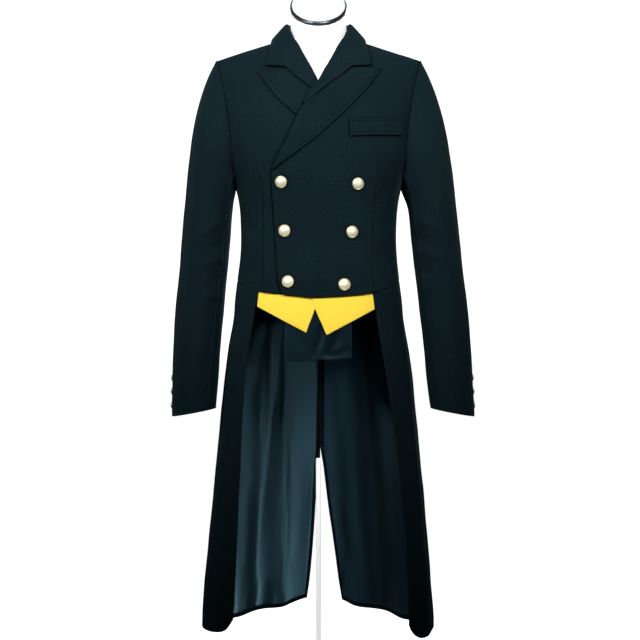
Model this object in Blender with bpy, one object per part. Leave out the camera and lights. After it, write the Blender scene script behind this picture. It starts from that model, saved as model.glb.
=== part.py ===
"""Double-breasted tailcoat on a limbless dress form with a slim pole stand.

Metres, +Z up. The coat's front faces -Y, so its wearer's left is at +X. The origin is the middle of the
base plate's underside.
"""

import math
from collections import namedtuple

import bpy
import bmesh
from mathutils import Matrix, Vector

# Cloth and seams
CLOTH = 0.0020
SATIN = 0.0010
POINT_CLOTH = 0.0015
GAP = 0.0003
LAYER = CLOTH + 0.0009
WAIST_GAP = 0.0008

# Shoulder line, as seen from the front
NECK_X = 0.085
NECK_HEIGHT = 1.531
SHOULDER_SLOPE = 0.313
SHOULDER_EDGE_X = 0.068
BACK_NECK_DIP = 0.016
SQUARENESS = 2.4

# Body and skirt: half width of the cloth at each height
Width = namedtuple("Width", "height half")
WIDTHS = (
    Width(0.340, 0.2320), Width(0.400, 0.2300), Width(0.464, 0.2250), Width(0.528, 0.2190),
    Width(0.592, 0.2125), Width(0.656, 0.2070), Width(0.720, 0.2010), Width(0.784, 0.1950),
    Width(0.848, 0.1890), Width(0.912, 0.1810), Width(0.976, 0.1700), Width(1.020, 0.1660),
    Width(1.060, 0.1610), Width(1.100, 0.1565), Width(1.140, 0.1550), Width(1.180, 0.1560),
    Width(1.216, 0.1600), Width(1.241, 0.1660), Width(1.259, 0.1730), Width(1.290, 0.1840),
    Width(1.335, 0.1945), Width(1.379, 0.2015), Width(1.437, 0.2120), Width(1.494, 0.2250),
    Width(1.560, 0.2350),
)

# Body and skirt: depth of the front and back, by the drop below the shoulder line
Depth = namedtuple("Depth", "drop front back")
DEPTHS = (
    Depth(0.000, 0.0003, 0.0003), Depth(0.008, 0.0210, 0.0300), Depth(0.020, 0.0370, 0.0490),
    Depth(0.040, 0.0550, 0.0680), Depth(0.070, 0.0750, 0.0860), Depth(0.110, 0.0950, 0.1010),
    Depth(0.160, 0.1120, 0.1120), Depth(0.220, 0.1220, 0.1140), Depth(0.280, 0.1210, 0.1040),
    Depth(0.360, 0.1100, 0.0880), Depth(0.420, 0.1070, 0.0860), Depth(0.500, 0.1140, 0.1020),
    Depth(0.560, 0.1130, 0.1140), Depth(0.700, 0.1080, 0.1240), Depth(0.850, 0.1040, 0.1330),
    Depth(1.000, 0.1020, 0.1420), Depth(1.200, 0.1020, 0.1520),
)

# Lower edge of the bodice, which is also the waist seam of the tails
Seam = namedtuple("Seam", "angle height")
WAIST = (
    Seam(0, 1.0205), Seam(16, 1.0240), Seam(38, 1.0300), Seam(53, 1.0380), Seam(71, 1.0480),
    Seam(90, 1.0550), Seam(130, 1.0620), Seam(180, 1.0660),
)

# Armhole, from the shoulder tip at share 0 to the underarm at share 1
Armhole = namedtuple("Armhole", "share height front back")
ARMHOLE = (
    Armhole(0.000, 1.494, 62.0, 118.0), Armhole(0.125, 1.476, 61.8, 118.2),
    Armhole(0.250, 1.449, 61.4, 118.5), Armhole(0.375, 1.410, 61.0, 118.6),
    Armhole(0.500, 1.370, 61.0, 118.8), Armhole(0.625, 1.328, 62.5, 117.5),
    Armhole(0.750, 1.288, 66.5, 113.5), Armhole(0.875, 1.256, 74.0, 106.0),
    Armhole(1.000, 1.241, 90.0, 90.0),
)

# Front panel: its free edge, which crosses the middle below the V, against the side seam or the armhole
Front = namedtuple("Front", "height edge_x side_height share")
FRONT = (
    Front(1.0220, -0.0700, 1.055, None), Front(1.0600, -0.0785, 1.088, None),
    Front(1.1100, -0.0812, 1.125, None), Front(1.1570, -0.0839, 1.165, None),
    Front(1.2050, -0.0875, 1.205, None), Front(1.2450, -0.0899, 1.241, 1.000),
    Front(1.2645, -0.0884, 1.256, 0.875), Front(1.2880, -0.0783, 1.288, 0.750),
    Front(1.3246, -0.0572, 1.328, 0.625), Front(1.3470, -0.0470, 1.349, 0.5625),
    Front(1.3692, -0.0362, 1.370, 0.500), Front(1.3890, -0.0250, 1.390, 0.4375),
    Front(1.4095, -0.0140, 1.410, 0.375),
    Front(1.4326, 0.0030, 1.434, 0.300), Front(1.4600, 0.0170, 1.449, 0.250),
    Front(1.4866, 0.0320, 1.464, 0.180), Front(1.5100, 0.0455, 1.476, 0.125),
    Front(1.5280, 0.0580, 1.488, 0.040), Front(1.5338, 0.0645, 1.492, 0.012),
    Front(1.5362, 0.0680, 1.494, 0.000),
)
FRONT_COLUMNS = 16

# How far the over front is lifted where it lies on the under front and on the under lapel
LAP_X = (0.105, 0.142)
LAP_TOP = (1.440, 1.490)
TUCK_X = (0.012, 0.050)
TUCK_HEIGHT = (1.300, 1.352)

# Back and side panels share the curved seam that runs from the waist into the back of the armhole
Princess = namedtuple("Princess", "angle height side_height centre_height")
PRINCESS = (
    Princess(150.0, 1.0635, 1.055, 1.066), Princess(153.5, 1.1050, 1.085, 1.105),
    Princess(155.0, 1.1500, 1.120, 1.150), Princess(153.0, 1.2000, 1.160, 1.200),
    Princess(148.0, 1.2500, 1.195, 1.250), Princess(140.5, 1.2900, 1.218, 1.290),
    Princess(131.0, 1.3150, 1.232, 1.320), Princess(117.5, 1.3280, 1.241, 1.345),
)
Back = namedtuple("Back", "share centre_height")
BACK_TOP = (
    Back(0.500, 1.385), Back(0.375, 1.423), Back(0.250, 1.458), Back(0.125, 1.488),
    Back(0.040, 1.508), Back(0.012, 1.5165), Back(0.000, 1.520),
)
BACK_COLUMNS = 7
SIDE_COLUMNS = 6
JOIN_SHARE = 0.625

# Sleeve below the armhole: outer and inner outline seen from the front, and its depth
Arm = namedtuple("Arm", "height outer inner centre_y half_depth")
SLEEVE = (
    Arm(1.190, 0.2670, 0.1745, 0.004, 0.0700), Arm(1.120, 0.2730, 0.1800, 0.003, 0.0670),
    Arm(1.056, 0.2780, 0.1850, -0.001, 0.0635), Arm(0.992, 0.2830, 0.1910, -0.008, 0.0600),
    Arm(0.928, 0.2860, 0.1965, -0.016, 0.0560), Arm(0.864, 0.2875, 0.2000, -0.024, 0.0510),
    Arm(0.820, 0.2880, 0.2030, -0.029, 0.0475), Arm(0.794, 0.2875, 0.2040, -0.032, 0.0460),
)
SLEEVE_COLUMNS = 16
SLEEVE_HEAD_STEPS = (0.0, 0.12, 0.27, 0.44, 0.62, 0.81)
SLEEVE_SEAM_GAP = 0.0016
# Which way the cloth of the sleeve head leaves the armhole, and which way it reaches the first ring
LEAVE_OUT = 0.50
LEAVE_OUT_SIDES = 0.25
LEAVE_OUT_UNDER = 0.20
LEAVE_FRONT = 0.28
LEAVE_DOWN = 0.85
ARRIVE = Vector((0.11, 0.0, -0.99))
CUFF_TILT = 0.008
LEFT_LEAN = (0.008, 0.019)

# Tails: front edge and slit edge of the wearer's right and left tail, and the hem's height round the angle
Edge = namedtuple("Edge", "height right left")
TAIL_EDGE = (
    Edge(0.396, 0.1660, 0.1760), Edge(0.480, 0.1610, 0.1730), Edge(0.560, 0.1575, 0.1686),
    Edge(0.640, 0.1547, 0.1610), Edge(0.720, 0.1507, 0.1530), Edge(0.800, 0.1470, 0.1427),
    Edge(0.860, 0.1430, 0.1325), Edge(0.920, 0.1365, 0.1228), Edge(0.980, 0.1260, 0.1135),
    Edge(1.032, 0.1165, 0.1065),
)
SLIT = (
    Edge(0.3880, 0.0242, 0.0494), Edge(0.4375, 0.0179, 0.0410), Edge(0.5050, 0.0116, 0.0326),
    Edge(0.5730, 0.0073, 0.0220), Edge(0.6400, 0.0031, 0.0136), Edge(0.6910, -0.0012, 0.0073),
    Edge(0.7080, -0.0033, 0.0038), Edge(0.8400, -0.0045, 0.0052), Edge(0.9500, -0.0060, 0.0067),
    Edge(1.0660, -0.0070, 0.0077),
)
Hem = namedtuple("Hem", "angle right left")
HEM = (
    Hem(42.0, 0.3960, 0.4000), Hem(45.3, 0.3810, 0.3900), Hem(48.0, 0.3720, 0.3710),
    Hem(53.0, 0.3665, 0.3575), Hem(59.0, 0.3645, 0.3530), Hem(68.0, 0.3635, 0.3560),
    Hem(84.0, 0.3680, 0.3640), Hem(105.0, 0.3650, 0.3620), Hem(131.0, 0.3580, 0.3550),
    Hem(143.0, 0.3630, 0.3655), Hem(155.0, 0.3700, 0.3705), Hem(164.0, 0.3735, 0.3755),
    Hem(171.0, 0.3840, 0.3880), Hem(176.5, 0.3920, 0.3910), Hem(182.0, 0.3940, 0.3930),
)
TAIL_ROWS = (0.0, 0.06, 0.13, 0.21, 0.29, 0.37, 0.42, 0.475, 0.56, 0.65, 0.74, 0.83, 0.92, 1.0)
TAIL_COLUMNS = 20
LINING_ROWS = (0, 2, 4, 6, 7, 9, 11, 12, 13)
LINING_INSET = 0.5
LINING_HEM = 0.25
LINING_TOP = 0.4
LINING_DEPTH = CLOTH + 0.0012
POINT_DEPTH = CLOTH + 0.0016

# Soft hanging folds of the tails, full depth at the hem
Fold = namedtuple("Fold", "angle spread right left")
FOLDS = (
    Fold(64, 7, -0.0025, 0.0030), Fold(79, 8, 0.0030, -0.0020), Fold(104, 10, -0.0060, -0.0050),
    Fold(121, 9, 0.0055, 0.0065), Fold(137, 8, -0.0060, -0.0055), Fold(151, 7, 0.0050, 0.0060),
    Fold(164, 6, -0.0045, -0.0040),
)
FOLD_TOP = 1.00
FOLD_HEM = 0.40

# Collar, wearer's left half from its low front end to the middle of the back
# A station on the chest gives x and height only, and lies on the cloth; one round the neck also gives y
Collar = namedtuple("Collar", "fold_x fold_y fold_z edge_x edge_y edge_z leg roll")
COLLAR_FRONT_END = (
    Collar(-0.0262, None, 1.3915, -0.0244, None, 1.3895, 0.0010, 0.0),
    Collar(-0.0172, None, 1.4100, -0.0029, None, 1.4080, 0.0020, 0.5),
)
COLLAR = (
    Collar(0.0000, None, 1.4330, 0.0183, None, 1.4266, 0.0022, 0.8),
    Collar(0.0126, None, 1.4600, 0.0416, None, 1.4460, 0.0025, 1.0),
    Collar(0.0263, None, 1.4866, 0.0646, None, 1.4687, 0.0030, 1.0),
    Collar(0.0423, None, 1.5203, 0.1022, None, 1.4724, 0.0018, 1.0),
    Collar(0.0555, -0.0250, 1.5430, 0.0990, -0.0475, 1.4970, 0.0080, 1.0),
    Collar(0.0605, -0.0060, 1.5590, 0.0947, -0.0270, 1.5190, 0.0170, 1.0),
    Collar(0.0600, 0.0080, 1.5630, 0.0925, -0.0080, 1.5330, 0.0220, 1.0),
    Collar(0.0580, 0.0220, 1.5650, 0.0900, 0.0120, 1.5335, 0.0240, 1.0),
    Collar(0.0480, 0.0430, 1.5690, 0.0780, 0.0590, 1.5060, 0.0260, 1.0),
    Collar(0.0270, 0.0570, 1.5710, 0.0450, 0.0800, 1.4910, 0.0280, 1.0),
    Collar(0.0000, 0.0620, 1.5720, 0.0000, 0.0920, 1.4850, 0.0290, 1.0),
)
COLLAR_FALL_STEPS = (0.28, 0.52, 0.76, 1.0)
COLLAR_BULGE = 0.0012
COLLAR_SAG = 0.004

# The collar's fold, from the top of the leg to the fall: on full roll, and in its pointed front end
FoldStep = namedtuple("FoldStep", "along rise")
FULL_FOLD = (FoldStep(0.0, 0.0), FoldStep(0.0006, 0.70), FoldStep(0.0026, 1.0), FoldStep(0.0054, 0.86))
END_FOLD = (FoldStep(0.0, 0.0), FoldStep(0.0004, 0.0012), FoldStep(0.0010, 0.0020), FoldStep(0.0016, 0.0022))
END_REACH = 0.012
FOLD_RISE = 0.0016
ROLL_RISE = 0.0022
FRONT_LEG_LEAN = Vector((0.0, -0.5, 0.85)).normalized()
FRONT_LEG_Y = -0.010

# Lapels: roll edge against outer edge, bottom to top, and the seam and peak along the top
Lapel = namedtuple("Lapel", "roll_x roll_height edge_x edge_height")
OVER_LAPEL = (
    Lapel(-0.0876, 1.2670, -0.0858, 1.2656), Lapel(-0.0800, 1.2850, -0.0600, 1.2840),
    Lapel(-0.0690, 1.3050, -0.0330, 1.3035), Lapel(-0.0587, 1.3246, -0.0060, 1.3235),
    Lapel(-0.0540, 1.3350, 0.0080, 1.3360), Lapel(-0.0490, 1.3460, 0.0220, 1.3490),
    Lapel(-0.0393, 1.3692, 0.0560, 1.3820), Lapel(-0.0325, 1.3800, 0.0850, 1.4140),
    Lapel(-0.0305, 1.3826, 0.0962, 1.4280), Lapel(-0.0291, 1.3846, 0.1062, 1.4420),
    Lapel(-0.0278, 1.3864, 0.1150, 1.4560), Lapel(-0.0265, 1.3880, 0.1236, 1.4692),
)
UNDER_LAPEL = (
    Lapel(0.0240, 1.3580, 0.0300, 1.3590), Lapel(0.0200, 1.3690, 0.0418, 1.3692),
    Lapel(0.0140, 1.3800, 0.0600, 1.3860), Lapel(0.0080, 1.3920, 0.0788, 1.4036),
    Lapel(0.0062, 1.3990, 0.0925, 1.4230), Lapel(0.0056, 1.4020, 0.1050, 1.4400),
    Lapel(0.0050, 1.4050, 0.1133, 1.4525), Lapel(0.0045, 1.4075, 0.1204, 1.4633),
)
Corner = namedtuple("Corner", "x height")
OVER_TOP = (
    Corner(-0.0265, 1.3880), Corner(-0.0029, 1.4070), Corner(0.0183, 1.4256), Corner(0.0416, 1.4450),
    Corner(0.0646, 1.4660), Corner(0.0950, 1.4685), Corner(0.1236, 1.4692),
)
UNDER_TOP = (
    Corner(0.0045, 1.4075), Corner(0.0110, 1.4165), Corner(0.0183, 1.4254), Corner(0.0416, 1.4450),
    Corner(0.0618, 1.4648), Corner(0.0900, 1.4660), Corner(0.1204, 1.4633),
)

# Breast welt, waistcoat points and the satin flap behind them, as corners on the front
WELT = (Corner(0.0587, 1.3275), Corner(0.1610, 1.3345), Corner(0.1610, 1.3650), Corner(0.0587, 1.3607))
WELT_COLUMNS = 6
WELT_PROUD = 0.0004
# Each is low start, low end, high start, high end, from the wearer's right to the left
RIGHT_POINT = (
    Corner(-0.1209, 1.0017), Corner(-0.0240, 0.9516), Corner(-0.1195, 1.0400), Corner(0.0058, 1.0300),
)
LEFT_POINT = (
    Corner(-0.0067, 0.9977), Corner(0.1110, 0.9967), Corner(-0.0165, 1.0300), Corner(0.1060, 1.0400),
)
LEFT_POINT_TIP = Corner(0.0157, 0.9466)
LEFT_POINT_STEPS = (0.33, 0.67)
POINT_COLUMNS = 8
POINT_ROWS = 3
UNDER_POINT_X = (-0.035, -0.019)
FLAP = (Corner(-0.0663, 0.8953), Corner(0.0663, 0.9010), Corner(-0.0663, 1.0500), Corner(0.0663, 1.0500))
FLAP_DEPTH = 0.0076
FLAP_COLUMNS = 6
FLAP_ROWS = 5

# Buttons
FRONT_BUTTON_RADIUS = 0.0117
CUFF_BUTTON_RADIUS = 0.0075
Button = namedtuple("Button", "name x height gap")
FRONT_BUTTONS = (
    Button("button_top_edge", -0.0709, 1.2414, 0.0008), Button("button_top_chest", 0.0748, 1.2382, 0.0008),
    Button("button_mid_edge", -0.0645, 1.1483, 0.0008), Button("button_mid_chest", 0.0641, 1.1460, 0.0008),
    Button("button_low_edge", -0.0580, 1.0497, 0.0008), Button("button_low_chest", 0.0493, 1.0441, 0.0004),
)
CUFF_BUTTON_HEIGHTS = (0.862, 0.835, 0.808)
BUTTON_SIDES = 12
CUFF_BUTTON_GAP = 0.0008
Turn = namedtuple("Turn", "radius height")
BUTTON_PROFILE = (Turn(0.86, 0.0), Turn(1.0, 0.16), Turn(0.96, 0.30), Turn(0.55, 0.46))
BUTTON_TOP = 0.52

# Dress form: its torso stays inside the cloth and its neck stands in the collar
Ring = namedtuple("Ring", "height half clear")
FORM_TORSO = (
    Ring(1.034, 0.1480, 0.0120), Ring(1.060, 0.1465, 0.0120), Ring(1.110, 0.1420, 0.0110),
    Ring(1.160, 0.1425, 0.0100), Ring(1.210, 0.1480, 0.0090), Ring(1.250, 0.1540, 0.0085),
    Ring(1.300, 0.1610, 0.0080), Ring(1.350, 0.1660, 0.0080), Ring(1.400, 0.1690, 0.0080),
    Ring(1.440, 0.1720, 0.0080), Ring(1.468, 0.1730, 0.0080), Ring(1.485, 0.1700, 0.0080),
    Ring(1.497, 0.1640, 0.0080), Ring(1.5050, 0.1530, 0.0080), Ring(1.5130, 0.1300, 0.0080),
    Ring(1.5190, 0.1060, 0.0080), Ring(1.5235, 0.0840, 0.0080), Ring(1.5280, 0.0650, 0.0080),
)
FORM_COLUMNS = 32
FORM_SHOULDER_DROP = 0.0026
FORM_SIDE_POWER = 6
FORM_EDGE_DEPTH = 0.003
FORM_FRONT_SHARE = 1.6
NECK_HALF = 0.0560
NECK_HALF_DEPTH = 0.0545
NECK_CENTRE_Y = 0.0010
NECK_BLEND = 0.006
NECK_BLEND_HEIGHT = 0.060
NECK_BASE = 1.5370
NECK_CUT_FRONT = 1.5535
NECK_CUT_TILT = 40.0
NECK_RING_HEIGHT = 0.0055
NECK_RING_PROUD = 0.0008
NECK_CAP_HEIGHT = 0.0050
NECK_CAP_RADIUS = 0.955
DISC_SIDES = 32

# Stand
ROD_RADIUS = 0.0035
TUBE_RADIUS = 0.0050
TUBE_TOP = 0.700
BASE_RADIUS = 0.190
BASE_HEIGHT = 0.008
SOCKET_RADIUS = 0.016
SOCKET_HEIGHT = 0.030
POLE_SIDES = 16
EDGE_ROUND = 0.002

# Surface normals are measured over these steps
ANGLE_STEP = 0.4
HEIGHT_STEP = 0.0004
SEAM_ROUNDS = 6
ON_SEAM = 0.0001

# Seams that run up the cloth are parted by half of the gap each side, as an angle at this radius
SEAM_RADIUS = 0.10
SEAM_ANGLE = math.degrees(0.5 * GAP / SEAM_RADIUS)

LEFT, RIGHT = 1, -1
WORDS = {LEFT: "left", RIGHT: "right"}


def read(rows, column, at):
    """Value of a column where the first column is `at`, on a smooth curve through the rows."""
    keys = [row[0] for row in rows]
    values = [getattr(row, column) for row in rows]
    if at <= keys[0]:
        return values[0]
    if at >= keys[-1]:
        return values[-1]
    last = len(rows) - 1
    k = max(i for i in range(last) if keys[i] <= at)

    def slope(i):
        low, high = max(i - 1, 0), min(i + 1, last)
        return (values[high] - values[low]) / (keys[high] - keys[low])

    step = keys[k + 1] - keys[k]
    t = (at - keys[k]) / step
    return (
        (2 * t**3 - 3 * t**2 + 1) * values[k]
        + (t**3 - 2 * t**2 + t) * step * slope(k)
        + (3 * t**2 - 2 * t**3) * values[k + 1]
        + (t**3 - t**2) * step * slope(k + 1)
    )


def straight(rows, column, at):
    """As read, but on straight lines between the rows."""
    for low, high in zip(rows, rows[1:]):
        if at <= high[0]:
            t = (at - low[0]) / (high[0] - low[0])
            return mix(getattr(low, column), getattr(high, column), max(t, 0.0))
    return getattr(rows[-1], column)


def mix(a, b, t):
    return a + (b - a) * t


def ease(at, low, high):
    """0 below low, 1 above high and smooth between."""
    t = min(max((at - low) / (high - low), 0.0), 1.0)
    return t * t * (3 - 2 * t)


# The depth table is read by the root of the drop, which rounds the shoulder over
ROOT_DEPTHS = tuple(Depth(math.sqrt(row.drop), row.front, row.back) for row in DEPTHS)


def shoulder_height(x):
    return NECK_HEIGHT - SHOULDER_SLOPE * (abs(x) - NECK_X)


def signed_power(value):
    return math.copysign(abs(value) ** (2 / SQUARENESS), value)


def skirt_fold(angle, height, side):
    """How far the folds of the tails stand out."""
    if height > FOLD_TOP:
        return 0.0
    wave = 0.0
    for fold in FOLDS:
        wave += getattr(fold, WORDS[side]) * math.exp(-(((angle - fold.angle) / fold.spread) ** 2))
    return wave * ease(FOLD_TOP - height, 0.0, FOLD_TOP - FOLD_HEM)


def body_point(angle, height, side):
    """Outer face of the cloth: angle in degrees, 0 at the middle of the front and 180 at the back."""
    turn = math.radians(angle)
    half = read(WIDTHS, "half", height) + skirt_fold(angle, height, side)
    x = half * signed_power(math.sin(turn))
    root = math.sqrt(max(shoulder_height(x) - height, 0.0))
    across = signed_power(math.cos(turn))
    if across > 0:
        y = -read(ROOT_DEPTHS, "front", root) * across
    else:
        y = (read(ROOT_DEPTHS, "back", root) + skirt_fold(angle, height, side)) * -across
    return Vector((x * side, y, height))


def body_normal(angle, height, side):
    """Outward direction of the cloth; on the shoulder seam it has no part to the front or back."""
    along = body_point(angle + ANGLE_STEP, height, side) - body_point(angle - ANGLE_STEP, height, side)
    here = body_point(angle, height, side)
    up = here - body_point(angle, height - HEIGHT_STEP, side)
    normal = along.cross(up) * side
    if shoulder_height(here.x) - height < ON_SEAM:
        normal.y = 0.0
    return normal.normalized()


def place(angle, height, side, out=0.0):
    """A point that lies `out` outside the outer face of the cloth."""
    return body_point(angle, height, side) + body_normal(angle, height, side) * out


def front_angle(x, height):
    """Angle of the front at a given x on its own side, negative past the middle."""
    share = min(abs(x) / read(WIDTHS, "half", height), 1.0)
    return math.copysign(math.degrees(math.asin(share ** (SQUARENESS / 2))), x)


def back_angle(x, height):
    return 180.0 - front_angle(x, height)


def over_lift(x, height):
    """How far the over front is held out by the layers under it."""
    lap = (1 - ease(x, *LAP_X)) * (1 - ease(height, *LAP_TOP))
    tuck = (1 - ease(x, *TUCK_X)) * ease(height, *TUCK_HEIGHT) * (1 - ease(height, *LAP_TOP))
    return LAYER * (lap + tuck)


def on_front(x, height, side, out):
    """A point on the front panel of a side, `out` above its own cloth."""
    lift = over_lift(x, height) if side == LEFT else 0.0
    return place(front_angle(x, height), height, side, out + lift)


def palette(name, colour, roughness, metallic=0.0):
    material = bpy.data.materials.new(name)
    material.use_nodes = True
    shader = material.node_tree.nodes["Principled BSDF"]
    shader.inputs["Base Color"].default_value = (*colour, 1.0)
    shader.inputs["Roughness"].default_value = roughness
    shader.inputs["Metallic"].default_value = metallic
    material.diffuse_color = (*colour, 1.0)
    return material


def add_object(name, vertices, faces, material, smooth_angle=50):
    mesh = bpy.data.meshes.new(name)
    mesh.from_pydata([tuple(v) for v in vertices], [], faces)
    work = bmesh.new()
    work.from_mesh(mesh)
    bmesh.ops.recalc_face_normals(work, faces=work.faces)
    work.to_mesh(mesh)
    work.free()
    mesh.materials.append(material)
    mesh.shade_smooth()
    mesh.set_sharp_from_angle(angle=math.radians(smooth_angle))
    obj = bpy.data.objects.new(name, mesh)
    bpy.context.scene.collection.objects.link(obj)
    return obj


def stitch(name, outer, inner, material, tube=False):
    """Closed wall between two grids of points; a tube joins its last column to its first."""
    rows, columns = len(outer), len(outer[0])
    count = rows * columns
    vertices = [point for row in outer for point in row] + [point for row in inner for point in row]
    faces = []
    for i in range(rows - 1):
        for j in range(columns if tube else columns - 1):
            k = (j + 1) % columns
            a, b, c, d = i * columns + j, i * columns + k, (i + 1) * columns + k, (i + 1) * columns + j
            faces.append((a, b, c, d))
            faces.append((count + d, count + c, count + b, count + a))
    for i in (0, rows - 1):
        for j in range(columns if tube else columns - 1):
            a, b = i * columns + j, i * columns + (j + 1) % columns
            faces.append((a, count + a, count + b, b) if i == 0 else (b, count + b, count + a, a))
    if not tube:
        for j in (0, columns - 1):
            for i in range(rows - 1):
                a, b = i * columns + j, (i + 1) * columns + j
                faces.append((b, count + b, count + a, a) if j == 0 else (a, count + a, count + b, b))
    return add_object(name, vertices, faces, material)


def grid_normals(grid, tube=False):
    """Normal of each grid point, from its neighbours."""
    rows, columns = len(grid), len(grid[0])
    normals = []
    for i in range(rows):
        line = []
        for j in range(columns):
            left = grid[i][(j - 1) % columns if tube else max(j - 1, 0)]
            right = grid[i][(j + 1) % columns if tube else min(j + 1, columns - 1)]
            low, high = grid[max(i - 1, 0)][j], grid[min(i + 1, rows - 1)][j]
            line.append((right - left).cross(high - low).normalized())
        normals.append(line)
    return normals


def thick_wall(name, grid, thickness, material, tube=False):
    """Wall from its visible face, its thickness on the side away from the grid's normals."""
    normals = grid_normals(grid, tube)
    inner = [[p - n * thickness for p, n in zip(*pair)] for pair in zip(grid, normals)]
    return stitch(name, grid, inner, material, tube)


def cloth_wall(name, spots, side, out, thickness, material):
    """Wall on the body through (angle, height) spots; `out` is a number or a rule of x and height."""
    outer, inner = [], []
    for row in spots:
        outer_row, inner_row = [], []
        for angle, height in row:
            x = body_point(angle, height, side).x * side
            lift = out(x, height) if callable(out) else out
            outer_row.append(place(angle, height, side, lift))
            inner_row.append(place(angle, height, side, lift - thickness))
        outer.append(outer_row)
        inner.append(inner_row)
    return stitch(name, outer, inner, material)


def patch(start, end, bottom, top, columns, shares=None):
    """Grid between four edges: start and end are lists of pairs, bottom and top rules of a share."""
    rows = len(start)
    grid = []
    for i in range(rows):
        t = shares[i] if shares else i / (rows - 1)
        row = []
        for j in range(columns + 1):
            s = j / columns
            pair = []
            for axis in (0, 1):
                across = mix(start[i][axis], end[i][axis], s)
                low = bottom(s)[axis] - mix(bottom(0)[axis], bottom(1)[axis], s)
                high = top(s)[axis] - mix(top(0)[axis], top(1)[axis], s)
                pair.append(across + (1 - t) * low + t * high)
            row.append(tuple(pair))
        grid.append(row)
    return grid


def seam_height(angle, side):
    """Height of the shoulder line over an angle."""
    height = NECK_HEIGHT
    for _ in range(SEAM_ROUNDS):
        height = shoulder_height(body_point(angle, height, side).x)
    return height


def armhole(share, column, side):
    """Angle and height of the armhole's front or back edge, which starts on the shoulder seam."""
    angle = straight(ARMHOLE, column, share)
    if share == 0:
        return angle, seam_height(angle, side)
    return angle, straight(ARMHOLE, "height", share)


def edge_fitted(start, end, bottom, top, columns, shares=None):
    """Patch whose first and last rows lie exactly on the rules of its bottom and top."""
    start[0], end[0] = bottom(0), bottom(1)
    start[-1], end[-1] = top(0), top(1)
    return patch(start, end, bottom, top, columns, shares)


def waist_between(start, end):
    """Rule of the waist seam between the angles of two edges."""
    low, high = start[0][0], end[0][0]

    def at(s):
        angle = mix(low, high, s)
        return angle, read(WAIST, "height", abs(angle))

    return at


def front_spots(side):
    start, end = [], []
    for row in FRONT:
        start.append((front_angle(row.edge_x, row.height), row.height))
        angle, height = 90.0, row.side_height
        if row.share is not None:
            angle, height = armhole(row.share, "front", side)
        end.append((angle - SEAM_ANGLE, height))
    neck, tip = start[-1][0], end[-1][0]

    def top(s):
        angle = mix(neck, tip, s)
        return angle, seam_height(angle, side)

    return edge_fitted(start, end, waist_between(start, end), top, FRONT_COLUMNS)


def front_panel(name, side, material):
    out = over_lift if side == LEFT else 0.0
    return cloth_wall(name, front_spots(side), side, out, CLOTH, material)


def side_spots(side):
    start = [(90.0 + SEAM_ANGLE, row.side_height) for row in PRINCESS]
    end = [(row.angle - SEAM_ANGLE, row.height) for row in PRINCESS]

    def top(s):
        angle, height = armhole(mix(1.0, JOIN_SHARE, s), "back", side)
        return angle + SEAM_ANGLE * (1 - 2 * s), height

    return edge_fitted(start, end, waist_between(start, end), top, SIDE_COLUMNS)


def side_panel(name, side, material):
    return cloth_wall(name, side_spots(side), side, 0.0, CLOTH, material)


def back_spots(side):
    start = [(row.angle + SEAM_ANGLE, row.height) for row in PRINCESS]
    end = [(180.0 - SEAM_ANGLE, row.centre_height) for row in PRINCESS]
    for row in BACK_TOP:
        angle, height = armhole(row.share, "back", side)
        start.append((angle + SEAM_ANGLE, height))
        end.append((180.0 - SEAM_ANGLE, row.centre_height))
    tip, middle = start[-1][0], end[-1][0]

    def top(s):
        angle = mix(tip, middle, s)
        height = seam_height(angle, side)
        x = abs(body_point(angle, height, side).x)
        if x < SHOULDER_EDGE_X:
            rim = shoulder_height(SHOULDER_EDGE_X)
            height = rim - BACK_NECK_DIP * (1 - (x / SHOULDER_EDGE_X) ** 2)
        return angle, height

    return edge_fitted(start, end, waist_between(start, end), top, BACK_COLUMNS)


def back_panel(name, side, material):
    return cloth_wall(name, back_spots(side), side, 0.0, CLOTH, material)


def sleeve_ring(row, lean, side):
    """Level ring of the sleeve, from its outer side round by the front."""
    centre = 0.5 * (row.outer + row.inner) + lean
    half = 0.5 * (row.outer - row.inner)
    ring = []
    for j in range(SLEEVE_COLUMNS):
        turn = 2 * math.pi * j / SLEEVE_COLUMNS
        x = centre + half * math.cos(turn)
        y = row.centre_y - row.half_depth * math.sin(turn)
        ring.append(Vector((x * side, y, row.height)))
    return ring


def sleeve_grid(side):
    """Rings of the sleeve from the armhole to the cuff."""
    last = len(SLEEVE) - 1
    leans = [mix(*LEFT_LEAN, i / last) if side == LEFT else 0.0 for i in range(len(SLEEVE))]
    rings = [sleeve_ring(row, lean, side) for row, lean in zip(SLEEVE, leans)]
    for j, point in enumerate(rings[-1]):
        point.z -= CUFF_TILT * math.cos(2 * math.pi * j / SLEEVE_COLUMNS)
    half = SLEEVE_COLUMNS // 2
    head = [[] for _ in SLEEVE_HEAD_STEPS]
    for j in range(SLEEVE_COLUMNS):
        turn = 2 * math.pi * j / SLEEVE_COLUMNS
        share = min(j, SLEEVE_COLUMNS - j) / half
        column = "front" if j <= half else "back"
        start = body_point(*armhole(share, column, side), side)
        start += Vector((side, 0.0, share)) * SLEEVE_SEAM_GAP
        target = rings[0][j]
        reach = (target - start).length
        outward = LEAVE_OUT + LEAVE_OUT_SIDES * abs(math.sin(turn))
        outward -= LEAVE_OUT_UNDER * max(-math.cos(turn), 0.0)
        leave = Vector((outward * side, -LEAVE_FRONT * math.sin(turn), -LEAVE_DOWN)).normalized() * reach
        arrive = Vector((ARRIVE.x * side, ARRIVE.y, ARRIVE.z)) * reach
        for t, line in zip(SLEEVE_HEAD_STEPS, head):
            line.append(
                start * (2 * t**3 - 3 * t**2 + 1)
                + leave * (t**3 - 2 * t**2 + t)
                + target * (3 * t**2 - 2 * t**3)
                + arrive * (t**3 - t**2)
            )
    return head + rings


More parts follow.
